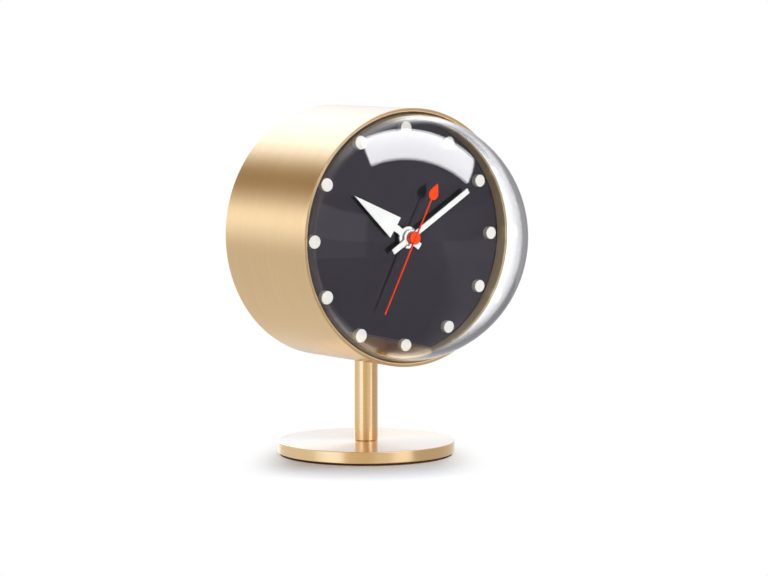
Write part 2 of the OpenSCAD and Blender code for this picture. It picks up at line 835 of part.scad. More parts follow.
module core_hole() {
    translate([
        coil_at[0] - leg_len / 2 - press_gap,
        core_y - press_gap,
        drum_z + leg_low
    ]) cube([leg_len + 2 * press_gap, stator_t + 2 * press_gap, coil_len + 2 * leg_len]);
}

bobbin_r = leg_len / 2 + bobbin_flange;

module coil_bobbin() {
    z0 = coil_at[1] + press_gap;
    z1 = leg_high - press_gap;
    color("#2b2c2e") difference() {
        union() {
            coil_bar(z0, z1 - z0, bobbin_r);
            coil_bar(z0, bobbin_flange, flange_r);
            coil_bar(z1 - bobbin_flange, bobbin_flange, flange_r);
        }
        core_hole();
    }
}

module coil_winding() {
    z0 = coil_at[1] + bobbin_flange + press_gap;
    h = coil_len - 2 * bobbin_flange - 2 * press_gap;
    color("#b5612c") difference() {
        coil_bar(z0, h, coil_d / 2);
        coil_bar(z0 - over, h + 2 * over, bobbin_r);
    }
}

module stator_screws() {
    r = stator_screw_d / 2;
    color("#b9bcc0") at_stator_screws() {
        rod(stator_y - stator_screw_d, core_y + stator_t, r);
        rod(core_y + stator_t, core_y + stator_t + r, 2 * r);
    }
}

battery_len = 2 * box_in - contact_t - spring_room;
battery_d = battery_d_share * battery_len;
battery_z = -box_in + battery_d / 2 + end_play;
battery_y = wall_in_y + battery_d / 2 + end_play;
bay_top = battery_z + battery_d / 2 + end_play;

// Front half of the movement's case: walls, battery bay, dial boss, lugs and posts
module movement_frame() {
    stud_r = bearing_d / 3;
    color("#26272a") difference() {
        union() {
            slab(dial_back_y, plate_in_y) difference() {
                rounded_square(box_w, box_w, box_corner_r);
                rounded_square(2 * box_in, 2 * box_in, box_corner_r - box_wall);
            }
            slab(dial_back_y, wall_in_y) rounded_square(box_w, box_w, box_corner_r);
            slab(wall_in_y, plate_in_y)
                translate([-box_in, bay_top]) square([2 * box_in, box_wall]);
            rod(dial_y, dial_back_y, boss_d / 2);
            for (s = [-1, 1]) slab(dial_back_y, dial_back_y + lug_t, [s * (lug_x - lug_reach / 4), 0])
                rounded_square(lug_reach * 1.5, lug_w, box_corner_r);
            rod(wall_in_y, layer(1) + wheel_t + layer_gap / 2, stud_r, motion_at);
            at_stator_screws() rod(wall_in_y, stator_y, bearing_d / 2);
        }
        rod(dial_y - over, wall_in_y + over, hour_pipe_r + running_gap);
        for (at = [third_at, drive_at, rotor_at])
            rod(wall_in_y - box_wall / 2 - end_play, wall_in_y + over, pivot_r + running_gap, at);
        rod(wall_in_y - box_wall / 2 - end_play, wall_in_y + over, stud_r + running_gap, knob_at);
        at_lug_studs() rod(dial_back_y - over, dial_back_y + lug_t + over, stud_d / 2 + loose_gap);
        at_stator_screws() rod(stator_y - 2 * stator_screw_d, stator_y + over, stator_screw_d / 2 + press_gap);
    }
}

board_x = -box_in + board_w / 2 + end_play;
board_z = board_h / 2 + bay_top + box_wall + end_play;
board_back_y = plate_in_y - board_stand;
board_y = board_back_y - board_t;

// Places its children at the two pegs that carry the circuit board
module at_board_pegs() {
    for (s = [-1, 1]) translate([board_x, 0, board_z + s * (board_h / 2 - bearing_d)]) children();
}

// Rear plate of the movement's case, with the bearings of the arbors
module movement_back() {
    top = box_w / 2;
    color("#2f3033") difference() {
        union() {
            slab(plate_in_y, box_rear_y) intersection() {
                rounded_square(box_w, box_w, box_corner_r);
                translate([-top, bay_top]) square([2 * top, top - bay_top]);
            }
            for (at = [[0, 0], third_at, drive_at, rotor_at])
                rod(plate_in_y - bearing_h, plate_in_y, bearing_d / 2, at);
            at_board_pegs() rod(board_back_y, plate_in_y, bearing_d / 2);
            at_board_pegs() rod(board_y - board_t / 2, plate_in_y, bearing_d / 3);
        }
        for (at = [[0, 0], third_at, drive_at, rotor_at])
            rod(plate_in_y - bearing_h - over, plate_in_y + end_play, pivot_r + running_gap, at);
        rod(plate_in_y - over, box_rear_y + over, knob_arbor_d / 2 + running_gap, knob_at);
    }
}

// Circuit board with its moulded chip
module circuit_board() {
    color("#3d6b45") {
        slab(board_y, board_back_y) difference() {
            translate([board_x, board_z]) square([board_w, board_h], center = true);
            for (s = [-1, 1]) translate([board_x, board_z + s * (board_h / 2 - bearing_d)])
                circle(bearing_d / 3 + press_gap);
        }
    }
}

module board_chip() {
    color("#1c1d1f") rod(board_y - board_t, board_y, board_w / 4, [board_x, board_z]);
}

// Crystal in its round can, flat on the board
module board_crystal() {
    r = board_t;
    color("#c4c6ca") translate([board_x, board_y - r, drum_z + board_z + board_w / 3])
        cylinder(r = r, h = board_h / 5);
}

module battery() {
    x1 = box_in - contact_t;
    color("#6d7076") translate([x1, battery_y, drum_z + battery_z]) rotate([0, -90, 0]) {
        cylinder(r = terminal_d / 2, h = battery_len);
        translate([0, 0, terminal_len]) cylinder(r = battery_d / 2, h = battery_len - terminal_len);
    }
}

module contact_positive() {
    color("#c9cbce") translate([
        box_in - contact_t, wall_in_y, drum_z + battery_z - contact_w / 2
    ]) cube([contact_t, battery_d, contact_w]);
}

// Leaf spring that bears on the battery's flat end
module contact_negative() {
    x0 = -box_in;
    x1 = box_in - contact_t - battery_len;
    t = contact_t;
    mid = battery_d / 2;
    color("#c9cbce") translate([0, wall_in_y, drum_z + battery_z - contact_w / 2])
        linear_extrude(contact_w) polygon([
            [x0, 0],
            [x0 + t, 0],
            [x0 + t, battery_d - 3 * t],
            [x1 - t, mid],
            [x1 - t, mid / 2],
            [x1, mid / 2],
            [x1, mid + t],
            [x0 + t, battery_d],
            [x0, battery_d],
        ]);
}

// Setting knob on its arbor, with the pinion that turns the motion wheel
module setting_knob() {
    y0 = box_rear_y + end_play;
    y1 = layer(1);
    n = knob_ridges;
    r = knob_d / 2;
    color("#26272a") {
        rod(wall_in_y - box_wall / 2, y1, bearing_d / 3, knob_at);
        slab(y1 - layer_gap / 2, y1 + wheel_t + layer_gap / 2, knob_at)
            teeth(knob_teeth, knob_m, knob_phase);
        rod(y1 + wheel_t, y0, knob_arbor_d / 2, knob_at);
        slab(y0, y0 + knob_h, knob_at) polygon([
            for (i = [0:n - 1], j = [0:3])
                let (t = (i + [-0.25, -0.15, 0.15, 0.25][j]) * 360 / n)
                let (q = (j == 0 || j == 3) ? r - knob_ridge : r)
                [q * cos(t), q * sin(t)]
        ]);
    }
}

// Dark cover that pulls out of the drum's rear, with a dish and a grip for the fingers
module rear_cover() {
    face_y = rear_y - cover_recess;
    seat_y = face_y - cover_t;
    edge_r = drum_in_r + seat_depth - cover_gap;
    skirt_r = drum_in_r - cover_gap;
    dish_r = dish_d / 2;
    floor_y = face_y - dish_depth;
    color("#222326") {
        difference() {
            union() {
                rod(seat_y, face_y, edge_r);
                rod(seat_y - skirt_len, seat_y, skirt_r);
                rod(floor_y - cover_t, face_y, dish_r + cover_t);
            }
            difference() {
                rod(seat_y - skirt_len - over, seat_y, skirt_r - skirt_wall);
                rod(floor_y - cover_t - over, seat_y + over, dish_r + cover_t);
            }
            rod(floor_y, face_y + over, dish_r);
        }
        intersection() {
            rod(floor_y - cover_t / 2, face_y, dish_r + cover_t / 2);
            slab(floor_y - cover_t / 2, face_y)
                square([2 * dish_r + cover_t, grip_w], center = true);
        }
    }
}

base_disc();
base_pad();
base_screw();
post();
post_screw();
saddle_washer();
drum();
dome();
dial_plate();
hour_pegs();
dial_ring();
dial_nuts();
hour_hand();
minute_hand();
second_hand();
hour_wheel();
minute_wheel();
motion_wheel();
third_wheel();
second_wheel();
drive_wheel();
rotor();
stator();
coil_core();
coil_bobbin();
coil_winding();
stator_screws();
movement_frame();
movement_back();
circuit_board();
board_chip();
board_crystal();
battery();
contact_positive();
contact_negative();
setting_knob();
rear_cover();
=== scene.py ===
"""Looks of a brass table clock with a clear domed front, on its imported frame."""

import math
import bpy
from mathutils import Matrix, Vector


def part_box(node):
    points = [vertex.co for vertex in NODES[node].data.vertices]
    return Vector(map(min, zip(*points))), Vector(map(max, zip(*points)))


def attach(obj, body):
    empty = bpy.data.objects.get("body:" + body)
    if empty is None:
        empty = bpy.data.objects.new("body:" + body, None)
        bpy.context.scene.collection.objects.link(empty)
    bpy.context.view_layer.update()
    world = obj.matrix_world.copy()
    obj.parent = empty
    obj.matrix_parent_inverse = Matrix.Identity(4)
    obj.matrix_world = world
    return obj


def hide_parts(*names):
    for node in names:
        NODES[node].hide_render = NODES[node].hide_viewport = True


bl_info = {
    "name": "Brass dome clock",
    "version": (1, 0, 0),
    "blender": (4, 5, 0),
    "location": "View3D > Sidebar > Clock",
    "description": "Models and finishes the pieces of a brass table clock",
    "category": "Object",
}

import bpy
from mathutils import Matrix, Vector

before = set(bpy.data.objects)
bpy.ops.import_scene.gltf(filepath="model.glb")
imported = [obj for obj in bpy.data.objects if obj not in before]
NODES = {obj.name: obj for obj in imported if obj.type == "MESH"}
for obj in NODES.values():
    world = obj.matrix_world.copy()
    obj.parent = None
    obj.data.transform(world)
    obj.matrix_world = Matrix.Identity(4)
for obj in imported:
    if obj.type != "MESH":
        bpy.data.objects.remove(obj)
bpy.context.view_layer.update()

MM = 0.001


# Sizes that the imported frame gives


def node_box(name):
    """Lowest corner, highest corner and middle of a CAD node."""
    low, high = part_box(name)
    return low, high, (low + high) / 2


DRUM_LOW, DRUM_HIGH, DRUM_MID = node_box("drum")
BASE_LOW, BASE_HIGH, BASE_MID = node_box("base_disc")
AXIS = Vector((0, 0, DRUM_MID.z))


# Sizes inside the pieces, which their boxes don't show

DRUM_WALL = 1.5 * MM
SEAT_CUT = 0.5 * MM
SEAT_LENGTH = 3.2 * MM
DOME_WALL = 2.3 * MM
SCREW_HOLE = 2.15 * MM
SCREW_SHANK = 2.0 * MM
SINK_RADIUS = 4.15 * MM
PEG_RADIUS = 2.75 * MM
PEG_HEIGHT = 2.5 * MM
SPIGOT_RADIUS = 1.2 * MM
COIL_INNER = 2.1 * MM

# The camera looks in from the left of the clock's front by this angle
CAMERA_TURN = math.radians(35.9)


# Modelling helpers


def fresh():
    """Deselects everything, before a primitive is added or a piece is picked."""
    bpy.ops.object.select_all(action="DESELECT")


def pick(piece):
    """Selects one piece alone and makes it the active one."""
    fresh()
    piece.select_set(True)
    bpy.context.view_layer.objects.active = piece


def settle(piece, name, body, *replaced, slot, material, smooth=35):
    """Puts a finished piece's place into its mesh and ties it to the frame."""
    pick(piece)
    bpy.ops.object.transform_apply(location=True, rotation=True, scale=True)
    bpy.ops.object.shade_smooth_by_angle(angle=math.radians(smooth))
    bpy.ops.object.modifier_add(type="WEIGHTED_NORMAL")
    weighted = piece.modifiers[-1]
    weighted.keep_sharp = True
    bpy.ops.object.modifier_apply(modifier=weighted.name)
    piece.name = name
    piece.data.name = name
    piece.data.materials.clear()
    piece.data.materials.append(material)
    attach(piece, body)
    if replaced:
        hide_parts(*replaced)


def turned(profile, centre, axis, steps):
    """Spins a closed profile of (radius, distance along the axis) about an axis."""
    axis = Vector(axis)
    side = axis.orthogonal().normalized()
    fresh()
    bpy.ops.mesh.primitive_circle_add(vertices=len(profile), radius=MM, location=(0, 0, 0))
    piece = bpy.context.object
    for vertex, (radius, along) in zip(piece.data.vertices, profile):
        vertex.co = Vector(centre) + side * radius + axis * along
    bpy.ops.object.mode_set(mode="EDIT")
    bpy.ops.mesh.select_all(action="SELECT")
    bpy.ops.mesh.spin(steps=steps, angle=math.tau, center=centre, axis=axis)
    bpy.ops.mesh.select_all(action="SELECT")
    bpy.ops.mesh.remove_doubles(threshold=0.002 * MM)
    bpy.ops.mesh.delete_loose()
    bpy.ops.mesh.select_all(action="SELECT")
    bpy.ops.mesh.normals_make_consistent(inside=False)
    bpy.ops.object.mode_set(mode="OBJECT")
    return piece


def arc(middle, radius, start, end, count=4):
    """Points of a profile on a round corner, with angles in degrees."""
    step = math.radians(end - start) / count
    return [
        (
            middle[0] + radius * math.cos(math.radians(start) + i * step),
            middle[1] + radius * math.sin(math.radians(start) + i * step),
        )
        for i in range(count + 1)
    ]


def eased_copy(name, width, segments=2, angle=40):
    """Copy of a CAD node with merged faces and its edges eased, as tumbled or moulded."""
    source = NODES[name]
    piece = source.copy()
    piece.data = source.data.copy()
    for key in list(piece.keys()):
        del piece[key]
    piece.parent = None
    bpy.context.scene.collection.objects.link(piece)
    pick(piece)
    bpy.ops.object.mode_set(mode="EDIT")
    bpy.ops.mesh.select_all(action="SELECT")
    bpy.ops.mesh.customdata_custom_splitnormals_clear()
    bpy.ops.mesh.remove_doubles(threshold=0.001 * MM)
    bpy.ops.mesh.dissolve_limited(angle_limit=math.radians(0.5))
    bpy.ops.object.mode_set(mode="OBJECT")
    bpy.ops.object.modifier_add(type="BEVEL")
    bevel = piece.modifiers[-1]
    bevel.width = width
    bevel.segments = segments
    bevel.limit_method = "ANGLE"
    bevel.angle_limit = math.radians(angle)
    bevel.use_clamp_overlap = True
    bevel.harden_normals = False
    bpy.ops.object.modifier_apply(modifier=bevel.name)
    return piece


def cut_out(piece, cutter):
    """Takes a cutter's shape out of a piece and removes the cutter."""
    pick(piece)
    bpy.ops.object.modifier_add(type="BOOLEAN")
    cut = piece.modifiers[-1]
    cut.operation = "DIFFERENCE"
    cut.object = cutter
    cut.solver = "EXACT"
    bpy.ops.object.modifier_apply(modifier=cut.name)
    bpy.data.objects.remove(cutter)


# Material helpers


def srgb(code):
    """Linear colour of a hex code such as D9B478."""
    values = [int(code[i : i + 2], 16) / 255 for i in (0, 2, 4)]
    linear = [v / 12.92 if v <= 0.04045 else ((v + 0.055) / 1.055) ** 2.4 for v in values]
    return (*linear, 1)


def node(tree, kind, inputs=None, **settings):
    """Adds a node with its settings, and links or sets what feeds it. A node among its
    inputs stands for that node's first output."""
    made = tree.nodes.new(kind)
    for name, value in settings.items():
        setattr(made, name, value)
    for name, value in (inputs or {}).items():
        if isinstance(value, bpy.types.Node):
            value = value.outputs[0]
        if isinstance(value, bpy.types.NodeSocket):
            tree.links.new(value, made.inputs[name])
        else:
            made.inputs[name].default_value = value
    return made


def blank(name):
    """New material without nodes, and its tree."""
    material = bpy.data.materials.new(name)
    material.use_nodes = True
    material.node_tree.nodes.clear()
    return material, material.node_tree


def spread(size):
    """Scale that gives a pattern spots of this size, in millimetres."""
    return 1 / (size * MM)


def per_mm(*sizes):
    """Scale that gives a pattern features of these sizes, in millimetres, on x, y and z."""
    return tuple(spread(size) for size in sizes)


def brushed_brass(name, centre, grain, tangent_axis, rings=False, roughness=0.36, bore=0.0):
    """Brass sheet or bar, brushed with fine abrasive and clear lacquered: a pale gold
    metal whose hairlines stretch each highlight across the brushing. Inside a bore it is
    left as drawn, with a thin matt skin of oxide."""
    material, tree = blank(name)
    coordinates = node(tree, "ShaderNodeTexCoord")
    moved = node(
        tree,
        "ShaderNodeMapping",
        {"Vector": coordinates.outputs["Object"], "Location": -Vector(centre)},
        vector_type="POINT",
    )
    place = moved
    if rings:
        parts = node(tree, "ShaderNodeSeparateXYZ", {"Vector": place})
        flat = node(tree, "ShaderNodeCombineXYZ", {"X": parts.outputs["X"], "Y": parts.outputs["Y"]})
        radius = node(tree, "ShaderNodeVectorMath", {0: flat}, operation="LENGTH")
        across = node(tree, "ShaderNodeMath", {0: radius.outputs["Value"], 1: parts.outputs["Z"]})
        joined = node(
            tree,
            "ShaderNodeCombineXYZ",
            {"X": parts.outputs["X"], "Y": parts.outputs["Y"], "Z": across},
        )
        place = joined
    # Abrasive hairlines of about 0.05 mm, drawn 0.35 mm apart so that they show
    lines = node(tree, "ShaderNodeMapping", {"Vector": place, "Scale": per_mm(*grain)}, vector_type="POINT")
    hair = node(
        tree,
        "ShaderNodeTexNoise",
        {"Vector": lines, "Scale": 1.0, "Detail": 4.0, "Roughness": 0.7},
    )
    broad = node(
        tree,
        "ShaderNodeTexNoise",
        {"Vector": lines, "Scale": 0.16, "Detail": 2.0, "Roughness": 0.5},
    )
    # Lacquer and handling leave soft clouds of tone some 25 mm wide
    clouds = node(
        tree,
        "ShaderNodeTexNoise",
        {"Vector": coordinates.outputs["Object"], "Scale": spread(25), "Detail": 3.0},
    )
    tone = node(tree, "ShaderNodeValToRGB", {"Fac": hair})
    for stop, at, code in zip(tone.color_ramp.elements, (0.3, 0.7), ("E7C796", "F1D3A5")):
        stop.position = at
        stop.color = srgb(code)
    veil = node(tree, "ShaderNodeMix", {0: 0.25, 6: tone, 7: srgb("ECCD9E")}, data_type="RGBA")
    shade = node(tree, "ShaderNodeMapRange", {"Value": clouds, "To Min": 0.96, "To Max": 1.03})
    cloudy = node(tree, "ShaderNodeVectorMath", {0: veil.outputs[2], 1: shade}, operation="MULTIPLY")
    gloss = node(
        tree,
        "ShaderNodeMapRange",
        {
            "Value": broad,
            "From Min": 0.3,
            "From Max": 0.7,
            "To Min": roughness - 0.015,
            "To Max": roughness + 0.02,
        },
    )
    metallic = 1.0
    if bore:
        # The hairlines end where the bore begins, over 0.4 mm
        about = node(tree, "ShaderNodeVectorMath", {0: moved, 1: (1, 0, 1)}, operation="MULTIPLY")
        off_axis = node(tree, "ShaderNodeVectorMath", {0: about}, operation="LENGTH")
        worked = {
            "Value": off_axis.outputs["Value"],
            "From Min": bore + 0.1 * MM,
            "From Max": bore + 0.5 * MM,
        }
        gloss = node(tree, "ShaderNodeMapRange", {**worked, "To Min": 0.6, "To Max": gloss})
        bare = node(tree, "ShaderNodeMapRange", {**worked, "To Min": 0.2, "To Max": 1.0})
        metallic = bare
    scratches = node(tree, "ShaderNodeBump", {"Height": hair, "Strength": 0.07, "Distance": 0.01 * MM})
    run = node(tree, "ShaderNodeTangent", direction_type="RADIAL", axis=tangent_axis)
    shader = node(
        tree,
        "ShaderNodeBsdfPrincipled",
        {
            "Base Color": cloudy,
            "Metallic": metallic,
            "Roughness": gloss,
            "Anisotropic": 0.85,
            "Anisotropic Rotation": 0.25,
            "Normal": scratches,
            "Coat Weight": 0.5,
            "Coat Roughness": 0.15,
            "Tangent": run,
        },
    )
    node(tree, "ShaderNodeOutputMaterial", {"Surface": shader})
    return material


def clear_acrylic(name):
    """Cast acrylic, blown to a dome and polished: colourless and glossy, and lamps shine
    through it on to the dial."""
    material, tree = blank(name)
    coordinates = node(tree, "ShaderNodeTexCoord")
    # Free-blown sheet is never quite even: slow swells some 30 mm wide
    swell = node(
        tree,
        "ShaderNodeTexNoise",
        {"Vector": coordinates.outputs["Object"], "Scale": 33.0, "Detail": 1.0},
    )
    wave = node(tree, "ShaderNodeBump", {"Height": swell, "Strength": 0.02, "Distance": 0.02 * MM})
    plastic = node(
        tree,
        "ShaderNodeBsdfPrincipled",
        {
            "Base Color": srgb("FDFEFF"),
            "Roughness": 0.0,
            "IOR": 1.49,
            "Transmission Weight": 1.0,
            "Normal": wave,
        },
    )
    through = node(tree, "ShaderNodeBsdfTransparent", {"Color": srgb("F7F8F9")})
    path = node(tree, "ShaderNodeLightPath")
    lamps = node(tree, "ShaderNodeMixShader", {0: path.outputs["Is Shadow Ray"], 1: plastic, 2: through})
    bounced = node(tree, "ShaderNodeMixShader", {0: path.outputs["Is Diffuse Ray"], 1: lamps, 2: through})
    node(tree, "ShaderNodeOutputMaterial", {"Surface": bounced})
    return material


def painted(name, base, roughness, peel, coat=0.0, shine=0.5):
    """Sprayed satin paint on sheet metal: an even colour with the faint pebbling that
    the spray leaves."""
    material, tree = blank(name)
    coordinates = node(tree, "ShaderNodeTexCoord")
    pebbles = node(
        tree,
        "ShaderNodeTexNoise",
        {"Vector": coordinates.outputs["Object"], "Scale": spread(peel), "Detail": 3.0},
    )
    # The coat varies over some 17 mm
    drift = node(
        tree,
        "ShaderNodeTexNoise",
        {"Vector": coordinates.outputs["Object"], "Scale": 60.0, "Detail": 2.0},
    )
    tone = node(tree, "ShaderNodeValToRGB", {"Fac": drift})
    for stop, at, share in zip(tone.color_ramp.elements, (0.3, 0.7), (0.94, 1.05)):
        stop.position = at
        stop.color = (*[min(1.0, share * c) for c in base[:3]], 1)
    gloss = node(
        tree,
        "ShaderNodeMapRange",
        {"Value": pebbles, "To Min": roughness - 0.05, "To Max": roughness + 0.05},
    )
    bump = node(tree, "ShaderNodeBump", {"Height": pebbles, "Strength": 0.05, "Distance": 0.004 * MM})
    shader = node(
        tree,
        "ShaderNodeBsdfPrincipled",
        {
            "Base Color": tone,
            "Roughness": gloss,
            "Normal": bump,
            "Coat Weight": coat,
            "Specular IOR Level": shine,
        },
    )
    node(tree, "ShaderNodeOutputMaterial", {"Surface": shader})
    return material


def moulded(name, base, roughness, grit, depth=0.02, glow=0.0):
    """Injection-moulded plastic: the spark-eroded texture of its mould breaks the gloss."""
    material, tree = blank(name)
    coordinates = node(tree, "ShaderNodeTexCoord")
    texture = node(
        tree,
        "ShaderNodeTexNoise",
        {"Vector": coordinates.outputs["Object"], "Scale": spread(grit), "Detail": 4.0},
    )
    # The plastic flowed into its mould in bands some 22 mm wide
    flow = node(
        tree,
        "ShaderNodeTexNoise",
        {"Vector": coordinates.outputs["Object"], "Scale": 45.0, "Detail": 1.0},
    )
    tone = node(tree, "ShaderNodeValToRGB", {"Fac": flow})
    for stop, at, share in zip(tone.color_ramp.elements, (0.35, 0.65), (0.93, 1.06)):
        stop.position = at
        stop.color = (*[min(1.0, share * c) for c in base[:3]], 1)
    gloss = node(
        tree,
        "ShaderNodeMapRange",
        {"Value": texture, "To Min": roughness - 0.08, "To Max": roughness + 0.08},
    )
    bump = node(tree, "ShaderNodeBump", {"Height": texture, "Strength": 0.35, "Distance": depth * MM})
    shader = node(
        tree,
        "ShaderNodeBsdfPrincipled",
        {
            "Base Color": tone,
            "Roughness": gloss,
            "Normal": bump,
            "Subsurface Weight": glow,
            "Subsurface Radius": (0.8 * MM, 0.7 * MM, 0.5 * MM),
            "Subsurface Scale": 1.0,
        },
    )
    node(tree, "ShaderNodeOutputMaterial", {"Surface": shader})
    return material


def plain_metal(name, base, roughness, grain):
    """Rolled, plated or drawn metal: a soft mirror with the fine lines of its rolling."""
    material, tree = blank(name)
    coordinates = node(tree, "ShaderNodeTexCoord")
    lines = node(
        tree,
        "ShaderNodeMapping",
        {"Vector": coordinates.outputs["Object"], "Scale": per_mm(*grain)},
        vector_type="POINT",
    )
    rolled = node(
        tree,
        "ShaderNodeTexNoise",
        {"Vector": lines, "Scale": 1.0, "Detail": 3.0, "Roughness": 0.6},
    )
    tone = node(tree, "ShaderNodeValToRGB", {"Fac": rolled})
    for stop, at, share in zip(tone.color_ramp.elements, (0.3, 0.7), (0.88, 1.08)):
        stop.position = at
        stop.color = (*[min(1.0, share * c) for c in base[:3]], 1)
    gloss = node(
        tree,
        "ShaderNodeMapRange",
        {"Value": rolled, "To Min": roughness - 0.06, "To Max": roughness + 0.08},
    )
    shader = node(
        tree,
        "ShaderNodeBsdfPrincipled",
        {"Base Color": tone, "Metallic": 1.0, "Roughness": gloss},
    )
    node(tree, "ShaderNodeOutputMaterial", {"Surface": shader})
    return material


def matt_table():
    """Matt white table: white to the camera, with the clock's soft shadow on it, its depth and shape partly
    painted.
    """
    material, tree = blank("table_matt_white")
    coordinates = node(tree, "ShaderNodeTexCoord")
    # Faint tooth of the table's lacquer, about 2 mm
    tooth = node(
        tree,
        "ShaderNodeTexNoise",
        {"Vector": coordinates.outputs["Object"], "Scale": spread(2), "Detail": 2.0},
    )
    tone = node(tree, "ShaderNodeMapRange", {"Value": tooth, "To Min": 0.86, "To Max": 0.9})
    matt = node(tree, "ShaderNodeBsdfDiffuse", {"Color": tone})
    # Painted shadow: the emission that lifts the shaded table is weakest right at the base, so the shadow
    # is deepest there, with a faint blue tint
    off = node(tree, "ShaderNodeVectorMath", {0: coordinates.outputs["Object"]}, operation="LENGTH")
    painted_shadow_fade = node(
        tree,
        "ShaderNodeMapRange",
        {
            "Value": off.outputs["Value"],
            "From Min": 0.038,
            "From Max": 0.080,
            "To Min": 0.02,
            "To Max": 0.50,
        },
    )
    glow = node(tree, "ShaderNodeEmission", {"Color": (0.97, 1.0, 1.08, 1), "Strength": painted_shadow_fade})
    shaded = node(tree, "ShaderNodeAddShader", {0: matt, 1: glow})
    # Painted shadow shape: the lit and shaded table shows only inside an ellipse in front of the base,
    # longer toward the camera than across; beyond it the table is plain white
    painted_shadow_ellipse = node(
        tree,
        "ShaderNodeMapping",
        {
            "Vector": coordinates.outputs["Object"],
            "Location": (-0.0235, -0.0324, 0),
            "Rotation": (0, 0, -CAMERA_TURN),
            "Scale": (0.054, 0.13, 1),
        },
        vector_type="TEXTURE",
    )
    away = node(tree, "ShaderNodeVectorMath", {0: painted_shadow_ellipse}, operation="LENGTH")
    reach = node(
        tree,
        "ShaderNodeMapRange",
        {"Value": away.outputs["Value"], "From Min": 0.5, "From Max": 1.0},
        interpolation_type="SMOOTHSTEP",
    )
    white = node(tree, "ShaderNodeEmission", {"Color": (1, 1, 1, 1), "Strength": 1.0})
    lifted = node(tree, "ShaderNodeMixShader", {0: reach, 1: shaded, 2: white})
    # What the clear dome mirrors on its inside is painted on the table: black to the left, for the unlit
    # room in front of the table, and a dim grey to the right, a painted shade as under a flag
    parts = node(tree, "ShaderNodeSeparateXYZ", {"Vector": coordinates.outputs["Object"]})
    right = node(
        tree,
        "ShaderNodeMapRange",
        {"Value": parts.outputs["X"], "From Min": 0.0, "From Max": 0.04},
    )
    painted_dome_reflection = node(tree, "ShaderNodeEmission", {"Color": (0.34, 0.33, 0.35, 1), "Strength": right})
    dim = node(tree, "ShaderNodeBsdfDiffuse", {"Color": (0.3, 0.3, 0.3, 1)})
    # Straight through the dome the table is an emission: a painted shade near the clock's foot, and white
    # again away from it
    painted_foot_shade_level = node(
        tree,
        "ShaderNodeMapRange",
        {"Value": off.outputs["Value"], "From Min": 0.06, "From Max": 0.26, "To Min": 0.6, "To Max": 1.6},
    )
    straight = node(tree, "ShaderNodeEmission", {"Color": (1, 1, 1, 1), "Strength": painted_foot_shade_level})
    path = node(tree, "ShaderNodeLightPath")
    mirrored = node(
        tree,
        "ShaderNodeMath",
        {0: path.outputs["Glossy Depth"], 1: 0.5},
        operation="GREATER_THAN",
    )
    dome_sight = node(tree, "ShaderNodeMixShader", {0: mirrored, 1: straight, 2: painted_dome_reflection})
    choice = node(tree, "ShaderNodeMixShader", {0: path.outputs["Is Camera Ray"], 1: dim, 2: lifted})
    table = node(
        tree,
        "ShaderNodeMixShader",
        {0: path.outputs["Is Transmission Ray"], 1: choice, 2: dome_sight},
    )
    node(tree, "ShaderNodeOutputMaterial", {"Surface": table})
    return material


